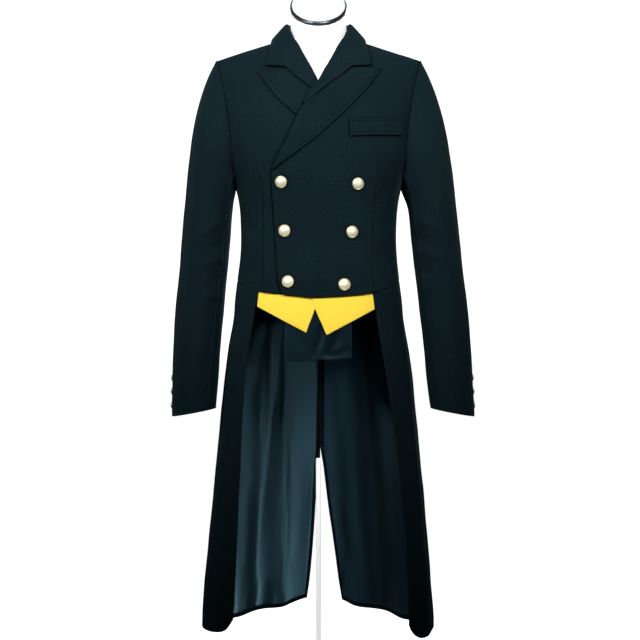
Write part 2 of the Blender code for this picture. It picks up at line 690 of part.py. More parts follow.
def sleeve(name, side, material):
    grid = sleeve_grid(side)
    if side == RIGHT:
        grid = [list(reversed(row)) for row in grid]
    return thick_wall(name, grid, CLOTH, material, tube=True)


def tail_spots(side):
    """Spots over a tail, from its front edge to the slit and from the hem to the waist."""
    column = WORDS[side]
    start, end = [], []
    for t in TAIL_ROWS:
        low = mix(TAIL_EDGE[0].height, TAIL_EDGE[-1].height, t)
        start.append((front_angle(read(TAIL_EDGE, column, low), low), low))
        high = mix(SLIT[0].height, SLIT[-1].height, t)
        end.append((back_angle(straight(SLIT, column, high), high), high))

    low_front, low_slit = start[0][0], end[0][0]
    high_front, high_slit = start[-1][0], end[-1][0]

    def bottom(s):
        angle = mix(low_front, low_slit, s)
        return angle, read(HEM, column, angle)

    def top(s):
        angle = mix(high_front, high_slit, s)
        return angle, read(WAIST, "height", angle) - WAIST_GAP

    return edge_fitted(start, end, bottom, top, TAIL_COLUMNS, TAIL_ROWS)


def tail(name, side, material):
    return cloth_wall(name, tail_spots(side), side, 0.0, CLOTH, material)


def between(a, b, t):
    return mix(a[0], b[0], t), mix(a[1], b[1], t)


def tail_lining(name, side, material):
    """Skin on the inside of a tail, made from the tail's own spots and drawn in at its edges."""
    spots = tail_spots(side)
    spots[0] = [between(*pair, LINING_HEM) for pair in zip(spots[0], spots[1])]
    spots[-1] = [between(*pair, LINING_TOP) for pair in zip(spots[-1], spots[-2])]
    for row in spots:
        row[0] = between(row[0], row[1], LINING_INSET)
        row[-1] = between(row[-1], row[-2], LINING_INSET)
    return cloth_wall(name, [spots[i] for i in LINING_ROWS], side, -LINING_DEPTH, SATIN, material)


def collar_station(station, side):
    """Visible face of the collar across one station, from the leg inside the neck over the fold."""
    on_chest = station.fold_y is None
    if on_chest:
        fold = on_front(station.fold_x, station.fold_z, side, 0.0)
        edge = on_front(station.edge_x, station.edge_z, side, LAYER)
        up = body_normal(front_angle(station.fold_x, station.fold_z), station.fold_z, side)
    else:
        fold = Vector((station.fold_x * side, station.fold_y, station.fold_z))
        edge = Vector((station.edge_x * side, station.edge_y, station.edge_z))
        up = FRONT_LEG_LEAN if station.fold_y < FRONT_LEG_Y else Vector((0.0, 0.0, 1.0))
    along = edge - fold
    along = (along - up * along.dot(up)).normalized()
    share = (edge - fold).length / END_REACH
    if share < 1:
        steps = [(row.along * share, row.rise) for row in END_FOLD]
    else:
        rise = FOLD_RISE + ROLL_RISE * station.roll
        steps = [(row.along, row.rise * rise) for row in FULL_FOLD]
    points = [fold - up * station.leg]
    points += [fold + along * reach + up * rise for reach, rise in steps]
    start = points[-1]
    for step in COLLAR_FALL_STEPS:
        if on_chest:
            x = mix(station.fold_x, station.edge_x, step)
            height = mix(station.fold_z, station.edge_z, step)
            points.append(on_front(x, height, side, LAYER + COLLAR_BULGE * station.roll * (1 - step)))
        else:
            points.append(start.lerp(edge, step) + Vector((0.0, 0.0, COLLAR_SAG * step * (1 - step))))
    return points


def collar(name, material):
    left = [collar_station(station, LEFT) for station in COLLAR_FRONT_END + COLLAR]
    right = [collar_station(station, RIGHT) for station in COLLAR[:-1]]
    grid = left + list(reversed(right))
    grid = [list(reversed(row)) for row in grid]
    return thick_wall(name, grid, CLOTH, material)


def front_patch(start, end, bottom, top, columns, side, out):
    """Two faces of a piece that lies on a front, from x and height pairs."""
    grid = patch(start, end, bottom, top, columns)
    return [[on_front(x, height, side, out(x, height)) for x, height in row] for row in grid]


def line_between(a, b):
    return lambda s: between(a, b, s)


def along_corners(corners):
    """Rule that runs through all corners, one equal share to each stretch."""
    def at(s):
        reached = s * (len(corners) - 1)
        k = min(int(reached), len(corners) - 2)
        return between(corners[k], corners[k + 1], reached - k)

    return at


def lying_wall(name, start, end, bottom, top, columns, side, out, thickness, material):
    outer = front_patch(start, end, bottom, top, columns, side, out)
    inner = front_patch(start, end, bottom, top, columns, side, lambda x, h: out(x, h) - thickness)
    return stitch(name, outer, inner, material)


def lapel(name, rows, corners, side, material):
    start = [(row.roll_x, row.roll_height) for row in rows]
    end = [(row.edge_x, row.edge_height) for row in rows]
    return lying_wall(
        name, start, end, line_between(start[0], end[0]), along_corners(corners), len(corners) - 1, side,
        lambda x, h: LAYER, CLOTH, material,
    )


def welt(name, material):
    low_in, low_out, high_out, high_in = WELT
    start = [low_in, high_in]
    end = [low_out, high_out]
    return lying_wall(
        name, start, end, line_between(low_in, low_out), line_between(high_in, high_out), WELT_COLUMNS, LEFT,
        lambda x, h: LAYER + WELT_PROUD, CLOTH, material,
    )


def hanging_wall(name, grid, out, thickness, material):
    """Wall inside the front, through x and height spots that may cross the middle."""
    faces = []
    for extra in (0.0, thickness):
        faces.append([[place(front_angle(x, h), h, LEFT, out(x) - extra) for x, h in row] for row in grid])
    return stitch(name, faces[0], faces[1], material)


def corner_grid(corners, columns, rows, bottom=None):
    """Grid between four corners, on a shaped lower edge if one is given."""
    low_start, low_end, high_start, high_end = corners
    start = [between(low_start, high_start, i / rows) for i in range(rows + 1)]
    end = [between(low_end, high_end, i / rows) for i in range(rows + 1)]
    low = bottom or line_between(low_start, low_end)
    return patch(start, end, low, line_between(high_start, high_end), columns)


def point_right(material):
    """The under point, set in by its own cloth where the other one laps over it."""
    def out(x):
        return -POINT_DEPTH - (POINT_CLOTH + GAP) * ease(x, *UNDER_POINT_X)

    grid = corner_grid(RIGHT_POINT, POINT_COLUMNS, POINT_ROWS)
    hanging_wall("point_right", grid, out, POINT_CLOTH, material)


def point_left(material):
    """The over point, whose tip is near its inner end."""
    low_start, low_end = LEFT_POINT[:2]
    corners = [low_start, LEFT_POINT_TIP]
    corners += [between(LEFT_POINT_TIP, low_end, t) for t in LEFT_POINT_STEPS]
    corners.append(low_end)
    grid = corner_grid(LEFT_POINT, POINT_COLUMNS, POINT_ROWS, along_corners(corners))
    hanging_wall("point_left", grid, lambda x: -POINT_DEPTH, POINT_CLOTH, material)


def satin_flap(material):
    grid = corner_grid(FLAP, FLAP_COLUMNS, FLAP_ROWS)
    hanging_wall("inner_flap", grid, lambda x: -FLAP_DEPTH, SATIN, material)


def turned(name, profile, top, sides, material, smooth_angle=40):
    """Solid turned round Z from radius and height pairs, closed flat below and at a middle point on top."""
    vertices = []
    for radius, height in profile:
        for j in range(sides):
            turn = 2 * math.pi * j / sides
            vertices.append(Vector((radius * math.cos(turn), radius * math.sin(turn), height)))
    faces = [tuple(range(sides))]
    for i in range(len(profile) - 1):
        for j in range(sides):
            k = (j + 1) % sides
            faces.append((i * sides + j, i * sides + k, (i + 1) * sides + k, (i + 1) * sides + j))
    last = (len(profile) - 1) * sides
    if top is None:
        faces.append(tuple(last + j for j in range(sides)))
    else:
        vertices.append(Vector((0.0, 0.0, top)))
        faces += [(last + j, last + (j + 1) % sides, len(vertices) - 1) for j in range(sides)]
    return add_object(name, vertices, faces, material, smooth_angle)


def button(name, radius, point, normal, gap, material):
    """Domed button whose flat back is a small gap off the cloth."""
    profile = [(row.radius * radius, row.height * radius) for row in BUTTON_PROFILE]
    obj = turned(name, profile, BUTTON_TOP * radius, BUTTON_SIDES, material)
    seat = Matrix.Translation(point + normal * gap)
    obj.matrix_world = seat @ normal.to_track_quat("Z", "Y").to_matrix().to_4x4()
    return obj


def front_buttons(material):
    for row in FRONT_BUTTONS:
        point = on_front(row.x, row.height, LEFT, 0.0)
        normal = body_normal(front_angle(row.x, row.height), row.height, LEFT)
        button(row.name, FRONT_BUTTON_RADIUS, point, normal, row.gap, material)


def cuff_buttons(side, material):
    """Three on the outer line of each cuff, turned a little to the back."""
    grid = sleeve_grid(side)
    rings = grid[len(SLEEVE_HEAD_STEPS):]
    for number, height in enumerate(CUFF_BUTTON_HEIGHTS, start=1):
        k = max(i for i in range(len(rings) - 1) if rings[i][0].z >= height)
        t = (rings[k][0].z - height) / (rings[k][0].z - rings[k + 1][0].z)
        here = rings[k][0].lerp(rings[k + 1][0], t)
        down = (rings[k + 1][0] - rings[k][0]).normalized()
        normal = Vector((-down.z * side, 0.0, down.x * side)).normalized()
        name = f"cuff_button_{WORDS[side]}_{number}"
        button(name, CUFF_BUTTON_RADIUS, here, normal, CUFF_BUTTON_GAP, material)


def neck_depth(x, front):
    share = min(abs(x) / NECK_HALF, 1.0)
    reach = NECK_HALF_DEPTH * math.sqrt(1 - share**2)
    return reach - NECK_CENTRE_Y if front else reach + NECK_CENTRE_Y


def soft_most(a, b):
    """The larger of two depths, blended where they are near each other."""
    near = max(NECK_BLEND - abs(a - b), 0.0) / NECK_BLEND
    return max(a, b) + near * near * NECK_BLEND / 4


def form_ring(row):
    """Level ring of the torso, clear of the cloth and rounded in at its sides."""
    ring = []
    for j in range(FORM_COLUMNS):
        turn = 2 * math.pi * j / FORM_COLUMNS
        front = math.cos(turn) > 0
        x = row.half * signed_power(math.sin(turn))
        root = math.sqrt(max(shoulder_height(x) - FORM_SHOULDER_DROP - row.height, 0.0))
        across = (1 - min(abs(x) / read(WIDTHS, "half", row.height), 1.0) ** SQUARENESS) ** (1 / SQUARENESS)
        side_round = math.sqrt(1 - min(abs(x) / row.half, 1.0) ** FORM_SIDE_POWER)
        reach = read(ROOT_DEPTHS, "front" if front else "back", root)
        clear = row.clear * FORM_FRONT_SHARE if front else row.clear
        depth = min(reach * across - clear, reach * side_round)
        depth = max(depth, FORM_EDGE_DEPTH * side_round)
        if row.height > NECK_BASE - NECK_BLEND_HEIGHT and abs(x) < NECK_HALF:
            depth = soft_most(depth, neck_depth(x, front))
        ring.append(Vector((x, -depth if front else depth, row.height)))
    return ring


def neck_cut_height(y):
    """The neck is cut on a plane that leans forward."""
    return NECK_CUT_FRONT + (y - NECK_CENTRE_Y + NECK_HALF_DEPTH) * math.tan(math.radians(NECK_CUT_TILT))


def neck_ring_points(grow, raise_by, level):
    """Ring of the neck; level 0 is its base and level 1 its slanting cut."""
    ring = []
    lean = Vector((0.0, -math.sin(math.radians(NECK_CUT_TILT)), math.cos(math.radians(NECK_CUT_TILT))))
    for j in range(FORM_COLUMNS):
        turn = 2 * math.pi * j / FORM_COLUMNS
        x = NECK_HALF * math.sin(turn)
        y = NECK_CENTRE_Y - NECK_HALF_DEPTH * math.cos(turn)
        point = Vector((x, y, mix(NECK_BASE, neck_cut_height(y), level)))
        middle = Vector((0.0, NECK_CENTRE_Y, neck_cut_height(NECK_CENTRE_Y)))
        if level == 1:
            point = middle + (point - middle) * grow + lean * raise_by
        ring.append(point)
    return ring


def loft(name, rings, material, smooth_angle=50):
    """Closed solid through rings, flat at both ends."""
    columns = len(rings[0])
    faces = [tuple(range(columns))]
    for i in range(len(rings) - 1):
        for j in range(columns):
            k = (j + 1) % columns
            faces.append((i * columns + j, i * columns + k, (i + 1) * columns + k, (i + 1) * columns + j))
    faces.append(tuple((len(rings) - 1) * columns + j for j in range(columns)))
    return add_object(name, [p for ring in rings for p in ring], faces, material, smooth_angle)


def dress_form(material):
    rings = [form_ring(row) for row in FORM_TORSO]
    rings += [neck_ring_points(1.0, 0.0, level) for level in (0.0, 0.33, 0.67, 1.0)]
    return loft("form", rings, material)


def neck_trim(ring_material, cap_material):
    """Dark ring round the neck's cut and the pale cap on it."""
    grow = 1 + NECK_RING_PROUD / NECK_HALF
    heights = (GAP, GAP + NECK_RING_HEIGHT)
    loft("neck_ring", [neck_ring_points(grow, rise, 1.0) for rise in heights], ring_material)
    low = GAP * 2 + NECK_RING_HEIGHT
    rounds = ((NECK_CAP_RADIUS, 0.0), (NECK_CAP_RADIUS, 0.5), (NECK_CAP_RADIUS * 0.93, 0.85), (0.6, 1.0))
    rings = [neck_ring_points(share, low + NECK_CAP_HEIGHT * rise, 1.0) for share, rise in rounds]
    loft("neck_cap", rings, cap_material)


def stand(rod_material, tube_material, base_material):
    form_bottom = FORM_TORSO[0].height
    rod = ((ROD_RADIUS, TUBE_TOP + GAP), (ROD_RADIUS, form_bottom - GAP))
    turned("stand_rod", rod, None, POLE_SIDES, rod_material)
    plate = (
        (BASE_RADIUS - EDGE_ROUND, 0.0), (BASE_RADIUS, EDGE_ROUND), (BASE_RADIUS, BASE_HEIGHT - EDGE_ROUND),
        (BASE_RADIUS - EDGE_ROUND, BASE_HEIGHT),
    )
    turned("stand_base", plate, None, DISC_SIDES, base_material)
    low = BASE_HEIGHT + GAP
    high = low + SOCKET_HEIGHT
    socket = ((SOCKET_RADIUS, low), (SOCKET_RADIUS, high - EDGE_ROUND), (SOCKET_RADIUS - EDGE_ROUND, high))
    turned("stand_socket", socket, None, DISC_SIDES, base_material)
    tube = (
        (TUBE_RADIUS, high + GAP), (TUBE_RADIUS, TUBE_TOP - EDGE_ROUND), (TUBE_RADIUS - EDGE_ROUND, TUBE_TOP),
    )
    turned("stand_tube", tube, None, POLE_SIDES, tube_material)


def clear_scene():
    for obj in list(bpy.data.objects):
        bpy.data.objects.remove(obj)


def build():
    clear_scene()
    wool = palette("wool", (0.008, 0.015, 0.018), 0.85)
    lining = palette("lining", (0.010, 0.022, 0.035), 0.35)
    yellow = palette("point_cloth", (0.95, 0.74, 0.06), 0.7)
    gold = palette("button_metal", (0.80, 0.68, 0.40), 0.3, 1.0)
    white = palette("form_skin", (0.88, 0.88, 0.88), 0.6)
    dark = palette("ring_metal", (0.05, 0.05, 0.06), 0.4, 1.0)
    pale = palette("cap_paint", (0.80, 0.88, 0.95), 0.4)
    for side, word in WORDS.items():
        front_panel(f"front_{word}", side, wool)
        side_panel(f"side_{word}", side, wool)
        back_panel(f"back_{word}", side, wool)
        sleeve(f"sleeve_{word}", side, wool)
        tail(f"tail_{word}", side, wool)
        tail_lining(f"tail_lining_{word}", side, lining)
        cuff_buttons(side, gold)
    lapel("lapel_left", OVER_LAPEL, OVER_TOP, LEFT, wool)
    lapel("lapel_right", UNDER_LAPEL, UNDER_TOP, RIGHT, wool)
    collar("collar", wool)
    welt("breast_welt", wool)
    point_right(yellow)
    point_left(yellow)
    satin_flap(lining)
    front_buttons(gold)
    dress_form(white)
    neck_trim(dark, pale)
    stand(dark, white, white)


build()
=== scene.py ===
"""Looks of the double-breasted tailcoat on its dress form.

Metres, +Z up. The coat's front faces -Y, so its wearer's left is at +X. Each cloth piece is a thin shell on
the same surface as its solid, finer, with rounded edges, pressed seams, stitching and soft creases.
"""

import math
from collections import namedtuple

import bmesh
import bpy
import numpy as np
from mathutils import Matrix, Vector


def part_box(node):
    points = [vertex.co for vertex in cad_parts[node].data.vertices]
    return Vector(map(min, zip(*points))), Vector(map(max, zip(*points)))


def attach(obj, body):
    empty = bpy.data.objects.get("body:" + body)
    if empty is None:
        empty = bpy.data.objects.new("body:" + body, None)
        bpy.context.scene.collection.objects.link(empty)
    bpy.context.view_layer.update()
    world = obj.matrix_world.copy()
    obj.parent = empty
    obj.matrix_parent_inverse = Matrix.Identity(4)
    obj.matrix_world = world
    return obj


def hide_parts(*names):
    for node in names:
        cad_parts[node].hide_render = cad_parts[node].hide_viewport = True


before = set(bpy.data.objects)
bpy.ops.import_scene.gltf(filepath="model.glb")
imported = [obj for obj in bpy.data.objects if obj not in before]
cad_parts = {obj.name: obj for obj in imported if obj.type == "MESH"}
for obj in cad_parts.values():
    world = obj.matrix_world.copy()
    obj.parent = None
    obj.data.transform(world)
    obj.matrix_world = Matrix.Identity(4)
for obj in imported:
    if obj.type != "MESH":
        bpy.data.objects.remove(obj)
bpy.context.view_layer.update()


def listed(kind, *rows):
    """Rows of plain values as rows whose columns have names."""
    return tuple(kind(*row) for row in rows)


# Cloth and seams
CLOTH = 0.002
SATIN = 0.001
POINT_CLOTH = 0.0015
GAP = 0.0003
LAYER = CLOTH + 0.0009
WAIST_GAP = 0.0008

# Shoulder line, as seen from the front
NECK_X = 0.085
NECK_HEIGHT = 1.531
SHOULDER_SLOPE = 0.313
SHOULDER_EDGE_X = 0.068
BACK_NECK_DIP = 0.016
SQUARENESS = 2.4

# Body and skirt: half width of the cloth at each height
Width = namedtuple("Width", "height half")
WIDTHS = listed(
    Width,
    (0.34, 0.232), (0.4, 0.23), (0.464, 0.225), (0.528, 0.219), (0.592, 0.2125), (0.656, 0.207),
    (0.72, 0.201), (0.784, 0.195), (0.848, 0.189), (0.912, 0.181), (0.976, 0.17), (1.02, 0.166),
    (1.06, 0.161), (1.1, 0.1565), (1.14, 0.155), (1.18, 0.156), (1.216, 0.16), (1.241, 0.166), (1.259, 0.173),
    (1.29, 0.184), (1.335, 0.1945), (1.379, 0.2015), (1.437, 0.212), (1.494, 0.225), (1.56, 0.235),
)

# Body and skirt: depth of the front and back, by the drop below the shoulder line
Depth = namedtuple("Depth", "drop front back")
DEPTHS = listed(
    Depth,
    (0.0, 0.0003, 0.0003), (0.008, 0.021, 0.03), (0.02, 0.037, 0.049), (0.04, 0.055, 0.068),
    (0.07, 0.075, 0.086), (0.11, 0.095, 0.101), (0.16, 0.112, 0.112), (0.22, 0.122, 0.114),
    (0.28, 0.121, 0.104), (0.36, 0.11, 0.088), (0.42, 0.107, 0.086), (0.5, 0.114, 0.102),
    (0.56, 0.113, 0.114), (0.7, 0.108, 0.124), (0.85, 0.104, 0.133), (1.0, 0.102, 0.142), (1.2, 0.102, 0.152),
)

# Lower edge of the bodice, which is also the waist seam of the tails
Seam = namedtuple("Seam", "angle height")
WAIST = listed(
    Seam,
    (0, 1.0205), (16, 1.024), (38, 1.03), (53, 1.038), (71, 1.048), (90, 1.055), (130, 1.062), (180, 1.066),
)

# Armhole, from the shoulder tip at share 0 to the underarm at share 1
Armhole = namedtuple("Armhole", "share height front back")
ARMHOLE = listed(
    Armhole,
    (0.0, 1.494, 62.0, 118.0), (0.125, 1.476, 61.8, 118.2), (0.25, 1.449, 61.4, 118.5),
    (0.375, 1.41, 61.0, 118.6), (0.5, 1.37, 61.0, 118.8), (0.625, 1.328, 62.5, 117.5),
    (0.75, 1.288, 66.5, 113.5), (0.875, 1.256, 74.0, 106.0), (1.0, 1.241, 90.0, 90.0),
)

# Front panel: its free edge, which crosses the middle below the V, against the side seam or the armhole
Front = namedtuple("Front", "height edge_x side_height share")
FRONT = listed(
    Front,
    (1.022, -0.07, 1.055, None), (1.06, -0.0785, 1.088, None), (1.11, -0.0812, 1.125, None),
    (1.157, -0.0839, 1.165, None), (1.205, -0.0875, 1.205, None), (1.245, -0.0899, 1.241, 1.0),
    (1.2645, -0.0884, 1.256, 0.875), (1.288, -0.0783, 1.288, 0.75), (1.3246, -0.0572, 1.328, 0.625),
    (1.347, -0.047, 1.349, 0.5625), (1.3692, -0.0362, 1.37, 0.5), (1.389, -0.025, 1.39, 0.4375),
    (1.4095, -0.014, 1.41, 0.375), (1.4326, 0.003, 1.434, 0.3), (1.46, 0.017, 1.449, 0.25),
    (1.4866, 0.032, 1.464, 0.18), (1.51, 0.0455, 1.476, 0.125), (1.528, 0.058, 1.488, 0.04),
    (1.5338, 0.0645, 1.492, 0.012), (1.5362, 0.068, 1.494, 0.0),
)

# How far the over front is lifted where it lies on the under front and on the under lapel
LAP_X = (0.105, 0.142)
LAP_TOP = (1.44, 1.49)
TUCK_X = (0.012, 0.05)
TUCK_HEIGHT = (1.3, 1.352)

# Back and side panels share the curved seam that runs from the waist into the back of the armhole
Princess = namedtuple("Princess", "angle height side_height centre_height")
PRINCESS = listed(
    Princess,
    (150.0, 1.0635, 1.055, 1.066), (153.5, 1.105, 1.085, 1.105), (155.0, 1.15, 1.12, 1.15),
    (153.0, 1.2, 1.16, 1.2), (148.0, 1.25, 1.195, 1.25), (140.5, 1.29, 1.218, 1.29),
    (131.0, 1.315, 1.232, 1.32), (117.5, 1.328, 1.241, 1.345),
)
Back = namedtuple("Back", "share centre_height")
BACK_TOP = listed(
    Back,
    (0.5, 1.385), (0.375, 1.423), (0.25, 1.458), (0.125, 1.488), (0.04, 1.508), (0.012, 1.5165), (0.0, 1.52),
)
JOIN_SHARE = 0.625

# Sleeve below the armhole: outer and inner outline seen from the front, and its depth
Arm = namedtuple("Arm", "height outer inner centre_y half_depth")
SLEEVE = listed(
    Arm,
    (1.19, 0.267, 0.1745, 0.004, 0.07), (1.12, 0.273, 0.18, 0.003, 0.067),
    (1.056, 0.278, 0.185, -0.001, 0.0635), (0.992, 0.283, 0.191, -0.008, 0.06),
    (0.928, 0.286, 0.1965, -0.016, 0.056), (0.864, 0.2875, 0.2, -0.024, 0.051),
    (0.82, 0.288, 0.203, -0.029, 0.0475), (0.794, 0.2875, 0.204, -0.032, 0.046),
)
# Which way the cloth of the sleeve head leaves the armhole, and which way it reaches the first ring
LEAVE_OUT = 0.5
LEAVE_OUT_SIDES = 0.25
LEAVE_OUT_UNDER = 0.2
LEAVE_FRONT = 0.28
LEAVE_DOWN = 0.85
ARRIVE = Vector((0.11, 0.0, -0.99))
CUFF_TILT = 0.008
LEFT_LEAN = (0.008, 0.019)
CUFF_TILT_START = 0.85
# Share of a sleeve that its head takes, and the pressed line where the head is sewn in
HEAD_SHARE = 0.34
HEAD_SEAM_GAP = -0.0012
HEAD_SEAM_DEPTH = 0.001
HEAD_SEAM_SHARE = 0.006
# A sleeve's length, the heights that it runs between, and the girths of its outer and inner cloth
SLEEVE_LENGTH = 0.7
SLEEVE_HEIGHTS = (1.42, 0.79)
SLEEVE_GIRTHS = (0.165, 0.135)

# Tails: front edge and slit edge of the wearer's right and left tail, and the hem's height round the angle
Edge = namedtuple("Edge", "height right left")
TAIL_EDGE = listed(
    Edge,
    (0.396, 0.166, 0.176), (0.48, 0.161, 0.173), (0.56, 0.1575, 0.1686), (0.64, 0.1547, 0.161),
    (0.72, 0.1507, 0.153), (0.8, 0.147, 0.1427), (0.86, 0.143, 0.1325), (0.92, 0.1365, 0.1228),
    (0.98, 0.126, 0.1135), (1.032, 0.1165, 0.1065),
)
SLIT = listed(
    Edge,
    (0.388, 0.0242, 0.0494), (0.4375, 0.0179, 0.041), (0.505, 0.0116, 0.0326), (0.573, 0.0073, 0.022),
    (0.64, 0.0031, 0.0136), (0.691, -0.0012, 0.0073), (0.708, -0.004, 0.0038), (0.84, -0.0057, 0.0052),
    (0.95, -0.0072, 0.0067), (1.066, -0.0082, 0.0077),
)
Hem = namedtuple("Hem", "angle right left")
HEM = listed(
    Hem,
    (42.0, 0.396, 0.4), (45.3, 0.381, 0.39), (48.0, 0.372, 0.371), (53.0, 0.3665, 0.3575),
    (59.0, 0.3645, 0.353), (68.0, 0.3635, 0.356), (84.0, 0.368, 0.364), (105.0, 0.365, 0.362),
    (131.0, 0.358, 0.355), (143.0, 0.363, 0.3655), (155.0, 0.37, 0.3705), (164.0, 0.3735, 0.3755),
    (171.0, 0.384, 0.388), (176.5, 0.392, 0.391), (182.0, 0.394, 0.393),
)
TAIL_ROWS = (0.0, 0.06, 0.13, 0.21, 0.29, 0.37, 0.42, 0.475, 0.56, 0.65, 0.74, 0.83, 0.92, 1.0)
LINING_DEPTH = CLOTH + 0.0012
POINT_DEPTH = CLOTH + 0.0016

# Soft hanging folds of the tails, full depth at the hem
Fold = namedtuple("Fold", "angle spread right left")
FOLDS = listed(
    Fold,
    (64, 7, -0.0025, 0.003), (79, 8, 0.003, -0.002), (104, 10, -0.006, -0.005), (121, 9, 0.0055, 0.0065),
    (137, 8, -0.006, -0.0055), (151, 7, 0.005, 0.006), (164, 6, -0.0045, -0.004),
)
FOLD_TOP = 1.0
FOLD_HEM = 0.4

# Collar, wearer's left half from its low front end to the middle of the back
# A station on the chest gives x and height only, and lies on the cloth; one round the neck also gives y
Collar = namedtuple("Collar", "fold_x fold_y fold_z edge_x edge_y edge_z leg roll")
COLLAR_FRONT_END = listed(
    Collar,
    (-0.0262, None, 1.3915, -0.0244, None, 1.3895, 0.001, 0.0),
    (-0.0172, None, 1.41, -0.0029, None, 1.408, 0.002, 0.5),
)
COLLAR = listed(
    Collar,
    (0.0, None, 1.433, 0.0183, None, 1.4266, 0.0022, 0.8),
    (0.0126, None, 1.46, 0.0416, None, 1.446, 0.0025, 1.0),
    (0.0263, None, 1.4866, 0.0646, None, 1.4687, 0.003, 1.0),
    (0.0423, None, 1.5203, 0.1022, None, 1.4724, 0.0018, 1.0),
    (0.0555, -0.025, 1.543, 0.099, -0.0475, 1.497, 0.008, 1.0),
    (0.0605, -0.006, 1.559, 0.0947, -0.027, 1.519, 0.017, 1.0),
    (0.06, 0.008, 1.563, 0.0925, -0.008, 1.533, 0.022, 1.0),
    (0.058, 0.022, 1.565, 0.09, 0.012, 1.5335, 0.024, 1.0),
    (0.048, 0.043, 1.569, 0.078, 0.059, 1.506, 0.026, 1.0),
    (0.027, 0.057, 1.571, 0.045, 0.08, 1.491, 0.028, 1.0), (0.0, 0.062, 1.572, 0.0, 0.092, 1.485, 0.029, 1.0),
)
COLLAR_UNDER_END = Collar(-0.007, None, 1.419, 0.0085, None, 1.416, 0.001, 0.0)
COLLAR_FALL_STEPS = (0.28, 0.52, 0.76, 1.0)
COLLAR_BULGE = 0.0012
COLLAR_SAG = 0.004
# Stations that are corners of its edge, counted from the first one that both ends share
COLLAR_CORNERS = (2, 3)
COLLAR_BREAK = (0.35, 0.75)
COLLAR_COLUMNS = 26
COLLAR_STEP = 1.4
COLLAR_LEAST = 0.004
CURVE_STEPS = 24

# The collar's fold, from the top of the leg to the fall: on full roll, and in its pointed front end
FoldStep = namedtuple("FoldStep", "along rise")
FULL_FOLD = (FoldStep(0.0, 0.0), FoldStep(0.0006, 0.7), FoldStep(0.0026, 1.0), FoldStep(0.0054, 0.86))
END_FOLD = (FoldStep(0.0, 0.0), FoldStep(0.0004, 0.0012), FoldStep(0.001, 0.002), FoldStep(0.0016, 0.0022))
END_REACH = 0.012
FOLD_RISE = 0.0016
ROLL_RISE = 0.0022
FRONT_LEG_LEAN = Vector((0.0, -0.5, 0.85)).normalized()
FRONT_LEG_Y = -0.01

# Lapels: roll edge against outer edge, bottom to top, and the seam and peak along the top
Lapel = namedtuple("Lapel", "roll_x roll_height edge_x edge_height")
OVER_LAPEL = listed(
    Lapel,
    (-0.0876, 1.267, -0.0858, 1.2656), (-0.08, 1.285, -0.06, 1.284), (-0.069, 1.305, -0.033, 1.3035),
    (-0.0587, 1.3246, -0.006, 1.3235), (-0.054, 1.335, 0.008, 1.336), (-0.049, 1.346, 0.022, 1.349),
    (-0.0393, 1.3692, 0.056, 1.382), (-0.0325, 1.38, 0.085, 1.414), (-0.0305, 1.3826, 0.0962, 1.428),
    (-0.0291, 1.3846, 0.1062, 1.442), (-0.0278, 1.3864, 0.115, 1.456), (-0.0265, 1.388, 0.1236, 1.4692),
)
UNDER_LAPEL = listed(
    Lapel,
    (0.024, 1.358, 0.03, 1.359), (0.02, 1.369, 0.0418, 1.3692), (0.014, 1.38, 0.06, 1.386),
    (0.008, 1.392, 0.0788, 1.4036), (0.0062, 1.399, 0.0925, 1.423), (0.0056, 1.402, 0.105, 1.44),
    (0.005, 1.405, 0.1133, 1.4525), (0.0045, 1.4075, 0.1204, 1.4633),
)
Corner = namedtuple("Corner", "x height")
OVER_TOP = listed(
    Corner,
    (-0.0265, 1.388), (-0.0029, 1.407), (0.0183, 1.4256), (0.0416, 1.445), (0.0646, 1.466), (0.095, 1.4685),
    (0.1236, 1.4692),
)
UNDER_TOP = listed(
    Corner,
    (0.0045, 1.4075), (0.011, 1.4165), (0.0183, 1.4254), (0.0416, 1.445), (0.0618, 1.4648), (0.09, 1.466),
    (0.1204, 1.4633),
)

# Breast welt, waistcoat points and the satin flap behind them, as corners on the front
WELT = (Corner(0.0587, 1.3275), Corner(0.161, 1.3345), Corner(0.161, 1.365), Corner(0.0587, 1.3607))
WELT_PROUD = 0.0004
# Each is low start, low end, high start, high end, from the wearer's right to the left
RIGHT_POINT = listed(
    Corner,
    (-0.1209, 1.0017), (-0.024, 0.9516), (-0.1195, 1.04), (0.0058, 1.03),
)
LEFT_POINT = listed(
    Corner,
    (-0.0067, 0.9977), (0.111, 0.9967), (-0.0165, 1.03), (0.106, 1.04),
)
LEFT_POINT_TIP = Corner(0.0157, 0.9466)
LEFT_POINT_STEPS = (0.33, 0.67)
UNDER_POINT_X = (-0.035, -0.019)
FLAP = (Corner(-0.0663, 0.8953), Corner(0.0663, 0.901), Corner(-0.0663, 1.05), Corner(0.0663, 1.05))
FLAP_DEPTH = 0.0076
FLAP_FADE = (0.97, 1.03)
RIGHT_POINT_SIZE = (0.105, 0.07)
LEFT_POINT_SIZE = (0.12, 0.06)
FLAP_SIZE = (0.133, 0.15)
POINT_WAVES = 2.2

# Surface normals are measured over these steps
ANGLE_STEP = 0.4
HEIGHT_STEP = 0.0004
SEAM_ROUNDS = 6
ON_SEAM = 0.0001
SEAM_RADIUS = 0.1
SEAM_ANGLE = math.degrees(0.2 * GAP / SEAM_RADIUS)
MIDDLE_SEAM_ANGLE = 0.004

LEFT, RIGHT = 1, -1
WORDS = {LEFT: "left", RIGHT: "right"}

